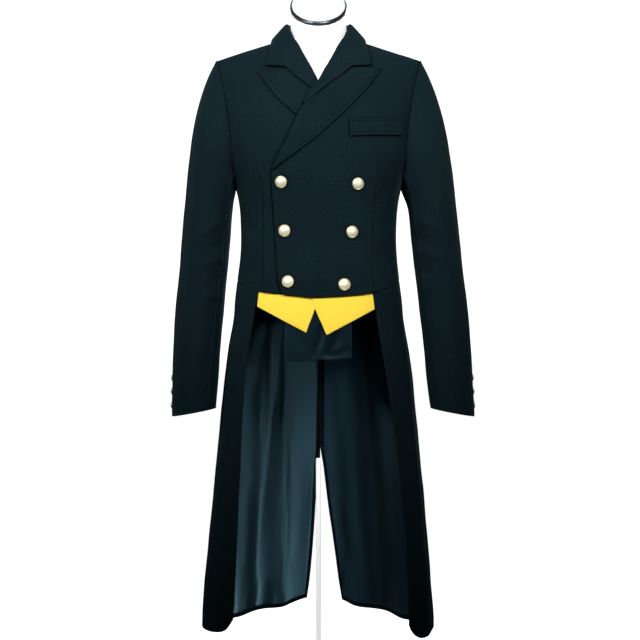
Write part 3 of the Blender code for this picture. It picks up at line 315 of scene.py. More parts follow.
# Spacing of the shells' points, with fine steps at edges and at a row of stitching
CLOTH_STEP = 0.0042
TAIL_STEP = 0.0055
FINE_STEP = 0.0026
EDGE_STEPS = (0.0, 0.0008, 0.0022, 0.0045)
STITCH_INSET = 0.0055
STITCH_STEPS = (0.0, 0.0008, 0.0022, 0.004, 0.0048, STITCH_INSET, 0.0062, 0.0075)
ROLL_STEPS = (0.0, 0.0003, 0.0008, 0.0016, 0.0028, 0.0045, 0.007, 0.011)
STITCH_GROOVE = 0.0009
GROOVE_WIDTH = 0.0009
EDGE_CLOSE = 0.42
SEAM_STEPS = (0.0, 0.0009, 0.0024, 0.005)
SEAM_GROOVE = (0.0016, 0.0006, 0.0, 0.0)

# Seam of each front from the chest to the waist, by height
Dart = namedtuple("Dart", "height left right")
DARTS = listed(
    Dart,
    (1.03, 0.1061, 0.1091), (1.047, 0.105, 0.1084), (1.123, 0.1046, 0.1075), (1.181, 0.106, 0.1073),
    (1.241, 0.1112, 0.1108), (1.286, 0.119, 0.1231), (1.38, 0.13, 0.133), (1.52, 0.12, 0.12),
)
DART_TOP = (1.262, 1.29)
DART_SHARE = 0.6
DART_SIDES = (0.17, 0.085)
FRONT_LENGTH = 0.5

# Seams of each sleeve, by height: degrees from the outer side, to the front; the back one is at minus degrees
Arm_seam = namedtuple("Arm_seam", "height back front")
ARM_SEAMS = listed(
    Arm_seam,
    (0.78, -24.0, 132.0), (0.92, -30.0, 134.0), (1.06, -42.0, 138.0), (1.2, -56.0, 143.0),
    (1.3, -64.0, 147.0), (1.494, -66.0, 150.0),
)

# Soft troughs and ridges at listed places; each fades at both ends and is bowed aside at its middle
# On the body an end is degrees round the side and a height; a depth below 0 is a trough
Crease = namedtuple("Crease", "angle_a height_a angle_b height_b bow width depth")
BODY_RADIUS = 0.17
BODY_ARC = BODY_RADIUS * math.pi / 180
FLANK = 0.35
LEFT_BODY = listed(
    Crease,
    (57, 1.44, 60, 1.285, 0.006, 0.013, -0.0016), (50, 1.4, 47, 1.3, 0.004, 0.016, 0.0009),
    (62, 1.238, 36, 1.196, 0.006, 0.01, -0.0012), (70, 1.205, 42, 1.165, 0.007, 0.009, 0.0009),
    (74, 1.176, 30, 1.14, 0.008, 0.011, -0.0015), (80, 1.142, 44, 1.118, 0.005, 0.01, 0.0011),
    (72, 1.112, 40, 1.094, 0.004, 0.009, -0.0009), (28, 1.128, 4, 1.118, 0.003, 0.01, -0.0006),
    (22, 1.215, 2, 1.19, 0.004, 0.012, -0.0007), (86, 1.1, 62, 1.068, 0.003, 0.009, 0.0007),
    (112, 1.42, 126, 1.285, -0.008, 0.012, 0.0022), (122, 1.41, 137, 1.262, -0.01, 0.012, -0.0022),
    (132, 1.372, 146, 1.24, -0.008, 0.011, 0.0012), (176, 1.176, 140, 1.16, 0.005, 0.009, -0.0014),
    (170, 1.15, 132, 1.128, 0.006, 0.01, 0.0013), (177, 1.126, 148, 1.108, 0.003, 0.009, -0.0016),
    (166, 1.1, 122, 1.086, 0.004, 0.008, 0.001), (120, 1.196, 98, 1.15, 0.004, 0.01, -0.0012),
    (150, 1.47, 172, 1.455, 0.004, 0.014, -0.0012), (110, 1.13, 92, 1.104, 0.003, 0.009, 0.0009),
)
RIGHT_BODY = listed(
    Crease,
    (56, 1.446, 61, 1.29, 0.007, 0.014, -0.0018), (49, 1.392, 45, 1.292, 0.004, 0.015, 0.001),
    (60, 1.226, 33, 1.184, 0.005, 0.01, -0.0011), (72, 1.193, 46, 1.158, 0.006, 0.01, 0.001),
    (76, 1.164, 36, 1.132, 0.007, 0.01, -0.0014), (70, 1.13, 38, 1.11, 0.005, 0.009, 0.0009),
    (82, 1.108, 50, 1.086, 0.004, 0.01, -0.001), (64, 1.08, 42, 1.062, 0.003, 0.008, 0.0006),
    (114, 1.414, 128, 1.276, -0.009, 0.012, 0.0024), (124, 1.402, 138, 1.255, -0.01, 0.013, -0.0021),
    (134, 1.362, 150, 1.236, -0.007, 0.01, 0.0011), (174, 1.186, 144, 1.166, 0.004, 0.01, -0.0012),
    (168, 1.158, 136, 1.14, 0.006, 0.009, 0.0014), (176, 1.118, 142, 1.1, 0.004, 0.01, -0.0015),
    (160, 1.092, 126, 1.078, 0.003, 0.009, 0.0009), (118, 1.186, 96, 1.14, 0.004, 0.01, -0.0013),
    (148, 1.462, 170, 1.45, 0.004, 0.013, -0.001), (108, 1.118, 94, 1.092, 0.003, 0.009, 0.0008),
)
LEFT_TAIL = listed(
    Crease,
    (56, 0.96, 66, 0.56, 0.01, 0.013, -0.0018), (64, 0.86, 72, 0.42, -0.008, 0.012, 0.0016),
    (82, 1.0, 90, 0.64, 0.01, 0.014, -0.002), (96, 0.9, 88, 0.46, 0.008, 0.013, 0.0018),
    (110, 1.03, 116, 0.76, -0.008, 0.012, -0.002), (128, 1.02, 122, 0.7, 0.01, 0.013, 0.002),
    (140, 1.01, 146, 0.64, -0.01, 0.012, -0.0022), (154, 0.9, 150, 0.42, 0.01, 0.012, 0.0018),
    (168, 1.0, 163, 0.56, 0.007, 0.011, -0.0016), (50, 0.6, 52, 0.4, 0.004, 0.01, 0.0012),
    (134, 0.56, 138, 0.37, 0.005, 0.011, -0.0016), (172, 0.64, 170, 0.4, 0.004, 0.01, 0.001),
)
RIGHT_TAIL = listed(
    Crease,
    (54, 0.98, 62, 0.6, 0.009, 0.012, -0.0017), (66, 0.82, 70, 0.4, -0.007, 0.013, 0.0015),
    (80, 1.01, 88, 0.68, 0.01, 0.013, -0.0021), (98, 0.88, 92, 0.42, 0.009, 0.012, 0.0019),
    (112, 1.035, 118, 0.72, -0.009, 0.013, -0.0018), (126, 1.0, 120, 0.64, 0.01, 0.012, 0.0021),
    (142, 1.02, 148, 0.6, -0.009, 0.013, -0.002), (156, 0.86, 150, 0.4, 0.009, 0.011, 0.0017),
    (166, 1.01, 164, 0.52, 0.006, 0.011, -0.0017), (48, 0.64, 51, 0.42, 0.005, 0.01, 0.0011),
    (132, 0.6, 136, 0.38, 0.006, 0.01, -0.0014), (174, 0.6, 171, 0.4, 0.004, 0.009, 0.0011),
)
CREASES = {LEFT: LEFT_BODY + LEFT_TAIL, RIGHT: RIGHT_BODY + RIGHT_TAIL}

# The same on a sleeve; 0 degrees is its outer side, 90 its front and 180 the side to the body
ARM_RADIUS = 0.052
ARM_ARC = ARM_RADIUS * math.pi / 180
LEFT_ARM = listed(
    Crease,
    (150, 1.176, 76, 1.14, 0.006, 0.01, -0.0026), (166, 1.146, 96, 1.112, 0.006, 0.009, 0.0022),
    (158, 1.112, 70, 1.086, 0.005, 0.01, -0.0028), (172, 1.08, 104, 1.06, 0.005, 0.008, 0.0018),
    (164, 1.05, 88, 1.02, 0.005, 0.01, -0.002), (64, 1.32, 84, 1.18, 0.006, 0.011, -0.0016),
    (40, 1.24, 30, 1.08, 0.007, 0.012, 0.0014), (120, 0.98, 96, 0.85, 0.005, 0.01, -0.0014),
    (-140, 1.2, -84, 1.12, 0.006, 0.012, -0.0022), (-150, 1.15, -70, 1.08, 0.005, 0.011, 0.0018),
    (-128, 1.08, -76, 1.0, 0.006, 0.01, -0.0016), (-60, 1.36, -84, 1.24, 0.005, 0.012, -0.0018),
    (20, 1.0, 34, 0.88, -0.004, 0.01, -0.001),
)
RIGHT_ARM = listed(
    Crease,
    (146, 1.168, 70, 1.128, 0.007, 0.01, -0.0028), (168, 1.134, 92, 1.1, 0.005, 0.01, 0.002),
    (154, 1.098, 76, 1.07, 0.006, 0.009, -0.0025), (170, 1.066, 100, 1.044, 0.004, 0.009, 0.0019),
    (160, 1.034, 92, 1.002, 0.005, 0.01, -0.0018), (60, 1.33, 80, 1.2, 0.007, 0.012, -0.0017),
    (44, 1.22, 28, 1.06, 0.006, 0.012, 0.0013), (116, 0.96, 100, 0.84, 0.004, 0.011, -0.0015),
    (-136, 1.19, -80, 1.108, 0.006, 0.011, -0.002), (-152, 1.14, -74, 1.066, 0.006, 0.01, 0.0019),
    (-124, 1.07, -80, 0.99, 0.005, 0.011, -0.0017), (-64, 1.35, -86, 1.22, 0.006, 0.011, -0.0016),
    (16, 1.02, 30, 0.9, -0.005, 0.01, -0.0011),
)
ARM_CREASES = {LEFT: LEFT_ARM, RIGHT: RIGHT_ARM}

# Folds of the satin inside the tails, all standing inwards
LEFT_LINING = listed(
    Crease,
    (176, 0.99, 166, 0.5, 0.01, 0.012, 0.004), (165, 0.9, 158, 0.43, -0.008, 0.018, 0.0034),
    (151, 1.01, 147, 0.56, 0.01, 0.022, 0.003), (140, 0.8, 135, 0.395, -0.008, 0.024, 0.0042),
    (127, 1.0, 122, 0.6, 0.01, 0.02, 0.0026), (112, 0.86, 104, 0.42, 0.01, 0.026, 0.0036),
    (94, 0.94, 84, 0.5, -0.01, 0.022, 0.0028), (76, 0.8, 66, 0.44, 0.008, 0.018, 0.0024),
    (171, 0.62, 165, 0.45, 0.004, 0.008, 0.0026), (169, 0.475, 171, 0.392, 0.003, 0.006, 0.003),
    (155, 0.44, 158, 0.378, 0.004, 0.008, 0.0026), (143, 0.43, 139, 0.372, -0.003, 0.009, 0.0022),
)
RIGHT_LINING = listed(
    Crease,
    (178, 1.0, 171, 0.62, 0.006, 0.016, 0.0036), (168, 0.94, 162, 0.42, 0.01, 0.02, 0.0034),
    (157, 0.84, 150, 0.4, -0.012, 0.026, 0.0046), (144, 1.01, 138, 0.64, 0.01, 0.022, 0.003),
    (131, 0.8, 126, 0.395, 0.01, 0.024, 0.004), (114, 0.98, 108, 0.56, 0.01, 0.022, 0.0028),
    (98, 0.86, 90, 0.43, -0.01, 0.024, 0.0032), (78, 0.86, 69, 0.46, 0.008, 0.018, 0.0024),
    (174, 0.5, 171, 0.395, 0.003, 0.007, 0.0022), (164, 0.45, 167, 0.385, 0.004, 0.009, 0.0026),
    (150, 0.44, 146, 0.374, 0.004, 0.01, 0.0028), (128, 0.44, 124, 0.366, -0.004, 0.01, 0.0024),
)
LINING_CREASES = {LEFT: LEFT_LINING, RIGHT: RIGHT_LINING}
LINING_FULLNESS = 0.72
LINING_SPAN = (0.022, 0.99)
LINING_RISE = (0.015, 0.968)
LINING_SIZE = (0.37, 0.64)
PUCKER_TOP = (FOLD_HEM - 0.02, 0.455)
PUCKER_FOOT = (0.36, 0.385)
PUCKER_DEPTH = 0.0016
PUCKER_PACE = 0.28

# Folds of the satin flap, by x and height
FLAP_CREASES = listed(
    Crease,
    (-0.012, 0.9, 0.01, 0.985, 0.004, 0.007, 0.0034), (0.01, 0.902, 0.04, 0.965, 0.006, 0.009, 0.004),
    (0.014, 0.905, 0.064, 0.925, 0.005, 0.007, 0.0026), (-0.058, 0.985, -0.026, 0.915, 0.004, 0.01, 0.002),
)

# Waves of the whole cloth that keep it from lying dead flat: lengths in metres and share of the depth
Wave = namedtuple("Wave", "across up phase share")
WAVES = listed(
    Wave,
    (0.15, 0.26, 0.4, 0.5), (-0.21, 0.12, 1.9, 0.4), (0.09, -0.17, 3.1, 0.3), (0.064, 0.075, 5.0, 0.2),
    (-0.047, 0.052, 2.2, 0.12),
)
SOFTNESS = 0.0005

# Trough of the under layers beside the over front's edge
LAP_TROUGH_DEPTH = 0.0026
LAP_TROUGH_MIDDLE = 0.001
LAP_TROUGH_WIDTH = 0.004
LAP_TROUGH_TOP = (1.395, 1.42)

# Rolled fold of a lapel
ROLL_HEIGHT = 0.003
ROLL_PEAK = 0.0075
ROLL_FOOT = 0.0008
ROLL_LEAST = 0.0004
NARROW = 0.034
LAPEL_COLUMNS = 34
LAPEL_ROWS = 70

# Stitches
STITCH_LENGTH = 0.0026
STITCH_PITCH = 0.0037
STITCH_HALF_WIDTH = 0.00028
STITCH_HEIGHT = 0.00032

# Buttons
FRONT_BUTTON_RADIUS = 0.0117
CUFF_BUTTON_RADIUS = 0.0075
Button = namedtuple("Button", "name x height")
FRONT_BUTTONS = listed(
    Button,
    ("button_top_edge", -0.0709, 1.2414), ("button_top_chest", 0.0748, 1.2382),
    ("button_mid_edge", -0.0645, 1.1483), ("button_mid_chest", 0.0641, 1.146),
    ("button_low_edge", -0.058, 1.0497), ("button_low_chest", 0.0493, 1.0441),
)
CUFF_BUTTONS = 3
BUTTON_SIDES = 48
BUTTON_SINK = 0.0006
Turn = namedtuple("Turn", "radius height")
BUTTON_PROFILE = listed(
    Turn,
    (0.84, 0.0), (0.95, 0.02), (1.0, 0.08), (1.0, 0.16), (0.975, 0.215), (0.93, 0.235), (0.885, 0.215),
    (0.86, 0.205), (0.835, 0.225), (0.78, 0.3), (0.66, 0.385), (0.5, 0.455), (0.32, 0.5), (0.15, 0.52),
)
BUTTON_TOP = 0.525
RIM_SHARE = 0.86
CUFF_BUTTON_LEAN = 0.02

# The cut of each piece before it was sewn, as laid flat
Cut = namedtuple("Cut", "piece width length area held rests_on")
CUTS = listed(
    Cut,
    ("front_left_cloth", 0.335, 0.61, 0.133, "draped", ("form", "front_right_cloth")),
    ("front_right_cloth", 0.335, 0.605, 0.132, "draped", ("form",)),
    ("side_left_cloth", 0.135, 0.315, 0.028, "draped", ("form",)),
    ("side_right_cloth", 0.135, 0.315, 0.028, "draped", ("form",)),
    ("back_left_cloth", 0.245, 0.53, 0.0705, "draped", ("form",)),
    ("back_right_cloth", 0.245, 0.53, 0.0705, "draped", ("form",)),
    ("sleeve_left_cloth", 0.4, 0.725, 0.2095, "hung", ("front_left_cloth", "back_left_cloth")),
    ("sleeve_right_cloth", 0.4, 0.725, 0.2075, "hung", ("front_right_cloth", "back_right_cloth")),
    ("tail_left_cloth", 0.395, 0.715, 0.2485, "hung", ("side_left_cloth", "back_left_cloth")),
    ("tail_right_cloth", 0.43, 0.715, 0.2575, "hung", ("side_right_cloth", "back_right_cloth")),
    ("tail_lining_left_satin", 0.37, 0.68, 0.223, "hung", ("tail_left_cloth",)),
    ("tail_lining_right_satin", 0.4, 0.68, 0.23, "hung", ("tail_right_cloth",)),
    ("lapel_left_cloth", 0.075, 0.33, 0.0144, "folded", ("front_left_cloth",)),
    ("lapel_right_cloth", 0.075, 0.16, 0.0073, "folded", ("front_right_cloth",)),
    ("collar_cloth", 0.13, 0.52, 0.048, "folded", ("back_left_cloth", "back_right_cloth")),
    ("breast_welt_cloth", 0.116, 0.036, 0.0039, "laid", ("front_left_cloth",)),
    ("point_left_cloth", 0.163, 0.086, 0.0077, "hung", ("front_left_cloth",)),
    ("point_right_cloth", 0.128, 0.084, 0.0071, "hung", ("front_right_cloth",)),
    ("inner_flap_satin", 0.134, 0.155, 0.02, "hung", ("front_right_cloth",)),
)
# Painted shade on the wool: ambient occlusion darkens its colour in seams and beside edges; how far it
# reaches, and the open share from dark to plain
PAINTED_SHADE_REACH = 0.013
PAINTED_SHADE_SPAN = (0.6, 0.95)

# Soft boxes; the lowest two light the tail linings alone
Light = namedtuple("Light", "name place aim size energy spread")
LIGHTS = listed(
    Light,
    ("key", (0.75, -1.9, 2.45), (0.0, 0.0, 1.34), (0.8, 0.8), 3.5, 33.0),
    ("fill", (-1.4, -1.8, 2.3), (0.0, 0.0, 1.32), (0.8, 1.0), 3.2, 33.0),
    ("low", (1.35, -2.35, 0.11), (-0.12, 0.1, 0.4), (1.3, 0.18), 1.7, 28.0),
    ("cool", (-0.35, -2.6, 0.62), (0.0, 0.1, 0.8), (0.9, 0.35), 1.8, 180.0),
    ("rim_left", (2.4, 1.4, 2.2), (0.15, 0.0, 1.2), (0.8, 1.6), 7.0, 120.0),
    ("rim_right", (-2.4, 1.4, 2.2), (-0.15, 0.0, 1.2), (0.8, 1.6), 7.0, 120.0),
    ("back", (0.5, 2.7, 2.3), (0.0, 0.0, 1.2), (1.2, 1.2), 24.0, 120.0),
)
LINING_LIGHTS = ("low", "cool")
COOL_COLOUR = (0.45, 0.72, 1.0)
SKY_COLOUR = (0.9, 0.97, 1.0, 1.0)
SKY_STRENGTH = 0.026
FLOOR_SIZE = 60.0
FLOOR_GLOW = 1.03
SURROUND_RADIUS = 40.0
SURROUND_GLOW = 1.2

# Camera at the photograph's angle and distance; its image is 36 mm wide on the sensor
CAMERA = (0.003, -2.8, 0.976)
SENSOR = 36.0
VIEW_WIDTH = 1.28


def mix(a, b, t):
    return a + (b - a) * t


def ease(at, low, high):
    """0 below low, 1 above high and smooth between."""
    t = np.clip((at - low) / (high - low), 0.0, 1.0)
    return t * t * (3 - 2 * t)


def unit(vectors):
    return vectors / np.linalg.norm(vectors, axis=-1, keepdims=True)


def hermite(a, b, leave, arrive, t):
    return (
        (2 * t**3 - 3 * t**2 + 1) * a
        + (t**3 - 2 * t**2 + t) * leave
        + (3 * t**2 - 2 * t**3) * b
        + (t**3 - t**2) * arrive
    )


def spline(keys, values, at):
    """Values on a smooth curve through the keys, at every place in `at`."""
    keys, values = np.asarray(keys, float), np.asarray(values, float)
    last = len(keys) - 1
    order = np.arange(last + 1)
    low, high = np.maximum(order - 1, 0), np.minimum(order + 1, last)
    spare = (1,) * (values.ndim - 1)
    slopes = (values[high] - values[low]) / (keys[high] - keys[low]).reshape((-1, *spare))
    at = np.clip(np.asarray(at, float), keys[0], keys[-1])
    k = np.clip(np.searchsorted(keys, at, side="right") - 1, 0, last - 1)
    step = np.reshape(keys[k + 1] - keys[k], (*at.shape, *spare))
    t = np.reshape(at - keys[k], (*at.shape, *spare)) / step
    return hermite(values[k], values[k + 1], slopes[k] * step, slopes[k + 1] * step, t)


def read(rows, column, at):
    """Column of a table on a smooth curve against its first column."""
    return spline([row[0] for row in rows], [getattr(row, column) for row in rows], at)


def straight(rows, column, at):
    """As read, but on straight lines between the rows."""
    return np.interp(at, [row[0] for row in rows], [getattr(row, column) for row in rows])


# The depth table is read by the root of the drop, which rounds the shoulder over
ROOT_DEPTHS = tuple(Depth(math.sqrt(row.drop), row.front, row.back) for row in DEPTHS)


def shoulder_height(x):
    return NECK_HEIGHT - SHOULDER_SLOPE * (np.abs(x) - NECK_X)


def signed_power(value):
    return np.sign(value) * np.abs(value) ** (2 / SQUARENESS)


def skirt_fold(angle, height, side):
    """How far the folds of the tails stand out."""
    wave = np.zeros(np.shape(angle))
    for fold in FOLDS:
        wave = wave + getattr(fold, WORDS[side]) * np.exp(-(((angle - fold.angle) / fold.spread) ** 2))
    return wave * ease(FOLD_TOP - height, 0.0, FOLD_TOP - FOLD_HEM)


def body(angle, height, side):
    """Outer face of the cloth: angle in degrees, 0 at the middle of the front and 180 at the back."""
    angle, height = np.broadcast_arrays(np.asarray(angle, float), np.asarray(height, float))
    turn = np.radians(angle)
    fold = skirt_fold(angle, height, side)
    x = (read(WIDTHS, "half", height) + fold) * signed_power(np.sin(turn))
    root = np.sqrt(np.maximum(shoulder_height(x) - height, 0.0))
    across = signed_power(np.cos(turn))
    front = -read(ROOT_DEPTHS, "front", root) * across
    back = (read(ROOT_DEPTHS, "back", root) + fold) * -across
    return np.stack((x * side, np.where(across > 0, front, back), height), axis=-1)


def facing(angle, height, side):
    """Outward direction of the cloth; on the shoulder seam it has no part to the front or back."""
    along = body(angle + ANGLE_STEP, height, side) - body(angle - ANGLE_STEP, height, side)
    here = body(angle, height, side)
    up = here - body(angle, height - HEIGHT_STEP, side)
    normal = np.cross(along, up) * side
    on_seam = shoulder_height(here[..., 0]) - height < ON_SEAM
    normal[..., 1] = np.where(on_seam, 0.0, normal[..., 1])
    return unit(normal)


def creases(rows, radius, angle, height):
    """Height of listed troughs and ridges, steeper on one flank than on the other."""
    total = np.zeros(np.broadcast(angle, height).shape)
    for row in rows:
        run = (radius * (row.angle_b - row.angle_a), row.height_b - row.height_a)
        length = math.hypot(*run)
        across, up = radius * (angle - row.angle_a), height - row.height_a
        along = np.clip((across * run[0] + up * run[1]) / length**2, 0.0, 1.0)
        aside = (across * run[1] - up * run[0]) / length - row.bow * 4 * along * (1 - along)
        width = row.width * (1 + FLANK * np.tanh(aside / row.width))
        total += row.depth * np.exp(-((aside / width) ** 2)) * np.sin(np.pi * along) ** 0.7
    return total


def softness(across, up):
    """Shallow uneven waves over the whole cloth."""
    total = 0.0
    for wave in WAVES:
        total = total + wave.share * np.sin(2 * np.pi * (across / wave.across + up / wave.up) + wave.phase)
    return SOFTNESS * total


def beside_lap(angle, height):
    """Depth of the shaded trough in the under layers, along the over front's edge."""
    beyond = read(FRONT, "edge_x", height) - body(angle, height, RIGHT)[..., 0]
    trough = np.exp(-(((beyond - LAP_TROUGH_MIDDLE) / LAP_TROUGH_WIDTH) ** 2))
    return LAP_TROUGH_DEPTH * trough * (1 - ease(height, *LAP_TROUGH_TOP))


def drape(angle, height, side):
    """How far the creases stand out of the plain body."""
    plain = BODY_RADIUS * np.radians(angle)
    relief = creases(CREASES[side], BODY_ARC, angle, height) + softness(plain * side, height)
    if side == RIGHT:
        relief = relief - beside_lap(angle, height)
    return relief


def place(angle, height, side, out):
    """Points that lie `out` outside the plain outer face of the cloth."""
    return body(angle, height, side) + facing(angle, height, side) * np.asarray(out)[..., None]


def front_angle(x, height):
    """Angle of the front at a given x on its own side, negative past the middle."""
    share = np.minimum(np.abs(x) / read(WIDTHS, "half", height), 1.0)
    return np.sign(x) * np.degrees(np.arcsin(share ** (SQUARENESS / 2)))


def over_lift(x, height):
    """How far the over front is held out by the layers under it."""
    lap = (1 - ease(x, *LAP_X)) * (1 - ease(height, *LAP_TOP))
    tuck = (1 - ease(x, *TUCK_X)) * ease(height, *TUCK_HEIGHT) * (1 - ease(height, *LAP_TOP))
    return LAYER * (lap + tuck)


def on_front(x, height, side, out):
    """Points on the front of a side, `out` above its own cloth and its creases."""
    angle = front_angle(x, height)
    lift = over_lift(x, height) if side == LEFT else 0.0
    return place(angle, height, side, out + lift + drape(angle, height, side))


def seam_height(angle, side):
    """Height of the shoulder line over an angle."""
    height = np.full(np.shape(angle), NECK_HEIGHT)
    for _ in range(SEAM_ROUNDS):
        height = shoulder_height(body(angle, height, side)[..., 0])
    return height


def armhole(share, column, side):
    """Angles and heights of the armhole's front or back edge, which starts on the shoulder seam."""
    share = np.asarray(share, float)
    angle = read(ARMHOLE, column, share)
    height = np.where(share == 0, seam_height(angle, side), read(ARMHOLE, "height", share))
    return np.stack((angle, height), axis=-1)


class Patch:
    """Pairs between four edges: lists of pairs at both sides, and rules of a share below and above."""

    def __init__(self, start, end, bottom, top, keys=None):
        self.start, self.end = np.array(start, float), np.array(end, float)
        self.bottom, self.top = bottom, top
        self.keys = np.linspace(0.0, 1.0, len(start)) if keys is None else np.array(keys)
        both = np.array((0.0, 1.0))
        self.low, self.high = bottom(both), top(both)
        self.start[0], self.end[0] = self.low
        self.start[-1], self.end[-1] = self.high

    def at(self, s, t):
        s, t = np.broadcast_arrays(s, t)
        share, rise = s[..., None], t[..., None]
        across = mix(spline(self.keys, self.start, t), spline(self.keys, self.end, t), share)
        low = self.bottom(s) - mix(self.low[0], self.low[1], share)
        high = self.top(s) - mix(self.high[0], self.high[1], share)
        return across + (1 - rise) * low + rise * high

    def width(self, t):
        """Straight distance between the side edges."""
        return np.linalg.norm(spline(self.keys, self.end, t) - spline(self.keys, self.start, t), axis=-1)

    def lengths(self):
        return [np.linalg.norm(np.diff(edge, axis=0), axis=-1).sum() for edge in (self.start, self.end)]


def waist_rule(start, end):
    """Rule of the waist seam between the first angles of two edges."""
    def at(s):
        angle = mix(start[0][0], end[0][0], s)
        return np.stack((angle, read(WAIST, "height", np.abs(angle))), axis=-1)

    return at


def line_rule(a, b):
    return lambda s: mix(np.array(a, float), np.array(b, float), np.asarray(s)[..., None])


def corner_rule(corners):
    """Rule that runs through all corners, one equal share to each stretch."""
    points = np.array(corners, float)
    keys = np.linspace(0.0, 1.0, len(points))
    return lambda s: np.stack([np.interp(s, keys, points[:, axis]) for axis in (0, 1)], axis=-1)


def front_rules(side):
    start, end = [], []
    for row in FRONT:
        start.append((float(front_angle(row.edge_x, row.height)), row.height))
        angle, height = 90.0, row.side_height
        if row.share is not None:
            angle, height = armhole(row.share, "front", side)
        end.append((angle - SEAM_ANGLE, height))

    def top(s):
        angle = mix(start[-1][0], end[-1][0], s)
        return np.stack((angle, seam_height(angle, side)), axis=-1)

    return Patch(start, end, waist_rule(start, end), top)


def side_rules(side):
    start = [(90.0 + SEAM_ANGLE, row.side_height) for row in PRINCESS]
    end = [(row.angle - SEAM_ANGLE, row.height) for row in PRINCESS]

    def top(s):
        pairs = armhole(mix(1.0, JOIN_SHARE, s), "back", side)
        return pairs + np.stack((SEAM_ANGLE * (1 - 2 * s), np.zeros(np.shape(s))), axis=-1)

    return Patch(start, end, waist_rule(start, end), top)


def back_rules(side):
    start = [(row.angle + SEAM_ANGLE, row.height) for row in PRINCESS]
    end = [(180.0 - MIDDLE_SEAM_ANGLE, row.centre_height) for row in PRINCESS]
    for row in BACK_TOP:
        angle, height = armhole(row.share, "back", side)
        start.append((angle + SEAM_ANGLE, height))
        end.append((180.0 - MIDDLE_SEAM_ANGLE, row.centre_height))

    def top(s):
        angle = mix(start[-1][0], end[-1][0], s)
        height = seam_height(angle, side)
        x = np.abs(body(angle, height, side)[..., 0])
        neck = shoulder_height(SHOULDER_EDGE_X) - BACK_NECK_DIP * (1 - (x / SHOULDER_EDGE_X) ** 2)
        return np.stack((angle, np.where(x < SHOULDER_EDGE_X, neck, height)), axis=-1)

    return Patch(start, end, waist_rule(start, end), top)


def tail_rules(side):
    column = WORDS[side]
    start, end = [], []
    for t in TAIL_ROWS:
        low = mix(TAIL_EDGE[0].height, TAIL_EDGE[-1].height, t)
        start.append((float(front_angle(read(TAIL_EDGE, column, low), low)), low))
        high = mix(SLIT[0].height, SLIT[-1].height, t)
        end.append((180.0 - float(front_angle(straight(SLIT, column, high), high)), high))

    def bottom(s):
        angle = mix(start[0][0], end[0][0], s)
        return np.stack((angle, read(HEM, column, angle)), axis=-1)

    def top(s):
        angle = mix(start[-1][0], end[-1][0], s)
        return np.stack((angle, read(WAIST, "height", angle) - WAIST_GAP), axis=-1)

    return Patch(start, end, bottom, top, TAIL_ROWS)


def ladder(length, step, low=EDGE_STEPS, high=EDGE_STEPS):
    """Shares of a length: the given steps at its ends and even ones between."""
    count = max(int(round((length - low[-1] - high[-1]) / step)), 2)
    even = np.linspace(low[-1], length - high[-1], count + 1)[1:-1]
    return np.concatenate((low, even, length - np.array(high)[::-1])) / length


def closing(shape, thickness):
    """How far the two faces of a wall draw together at its edges."""
    rows, columns = (np.minimum(np.arange(n), np.arange(n)[::-1]) for n in shape)
    nearest = np.minimum(rows[:, None], columns[None, :])
    return thickness * np.interp(nearest, (0, 1, 2), (EDGE_CLOSE, EDGE_CLOSE / 4, 0.0))


def spread(grid):
    """Lengths across and up a grid of points, measured from its middle."""
    across = np.linalg.norm(np.diff(grid, axis=1), axis=-1)
    up = np.linalg.norm(np.diff(grid, axis=0), axis=-1)
    across = np.concatenate((np.zeros((len(grid), 1)), np.cumsum(across, axis=1)), axis=1)
    up = np.concatenate((np.zeros((1, grid.shape[1])), np.cumsum(up, axis=0)), axis=0)
    middle = grid.shape[1] // 2
    return np.stack((across - across[:, middle:middle + 1], up), axis=-1)


def linked(name, data):
    """A new object in the scene."""
    obj = bpy.data.objects.new(name, data)
    bpy.context.scene.collection.objects.link(obj)
    return obj


def surfaced(mesh, materials, smooth_angle):
    """The mesh with its materials and smooth shading, sharp only past an angle in degrees."""
    mesh.materials.clear()
    for material in materials:
        mesh.materials.append(material)
    mesh.shade_smooth()
    mesh.set_sharp_from_angle(angle=math.radians(smooth_angle))
    return mesh


def mesh_object(name, vertices, faces, material, smooth_angle=55):
    mesh = bpy.data.meshes.new(name)
    mesh.from_pydata(np.asarray(vertices).reshape(-1, 3).tolist(), [], np.asarray(faces).tolist())
    return linked(name, surfaced(mesh, (material,), smooth_angle))


def in_place_of(obj, node, slot):
    """The object, on the one body, in a CAD node's place, whose CAD part is hidden; the slot is not used."""
    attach(obj, "root")
    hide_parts(node)
    return obj


def wall_faces(rows, columns):
    """Faces of a closed wall whose outer grid of points is followed by its inner one."""
    index = np.arange(rows * columns).reshape(rows, columns)
    outer = np.stack((index[:-1, :-1], index[:-1, 1:], index[1:, 1:], index[1:, :-1]), axis=-1).reshape(-1, 4)
    inner = outer[:, ::-1] + rows * columns
    rim = np.concatenate((index[0, :-1], index[:-1, -1], index[-1, :0:-1], index[:0:-1, 0]))
    after = np.roll(rim, -1)
    edge = np.stack((after, rim, rim + rows * columns, after + rows * columns), axis=-1)
    return np.concatenate((outer, inner, edge))


def face_out(obj):
    work = bmesh.new()
    work.from_mesh(obj.data)
    bmesh.ops.recalc_face_normals(work, faces=work.faces)
    work.to_mesh(obj.data)
    work.free()


def shell(name, outer, inner, material, slot, node):
    """Closed thin wall between two grids, with its lengths as texture coordinates, in a CAD node's place."""
    points = np.concatenate((outer.reshape(-1, 3), inner.reshape(-1, 3)))
    obj = mesh_object(name, points, wall_faces(*outer.shape[:2]), material)
    face_out(obj)
    lengths = np.tile(spread(outer).reshape(-1, 2), (2, 1))
    loops = np.zeros(len(obj.data.loops), int)
    obj.data.loops.foreach_get("vertex_index", loops)
    obj.data.uv_layers.new(name="lengths").data.foreach_set("uv", lengths[loops].ravel())
    return in_place_of(obj, node, slot)


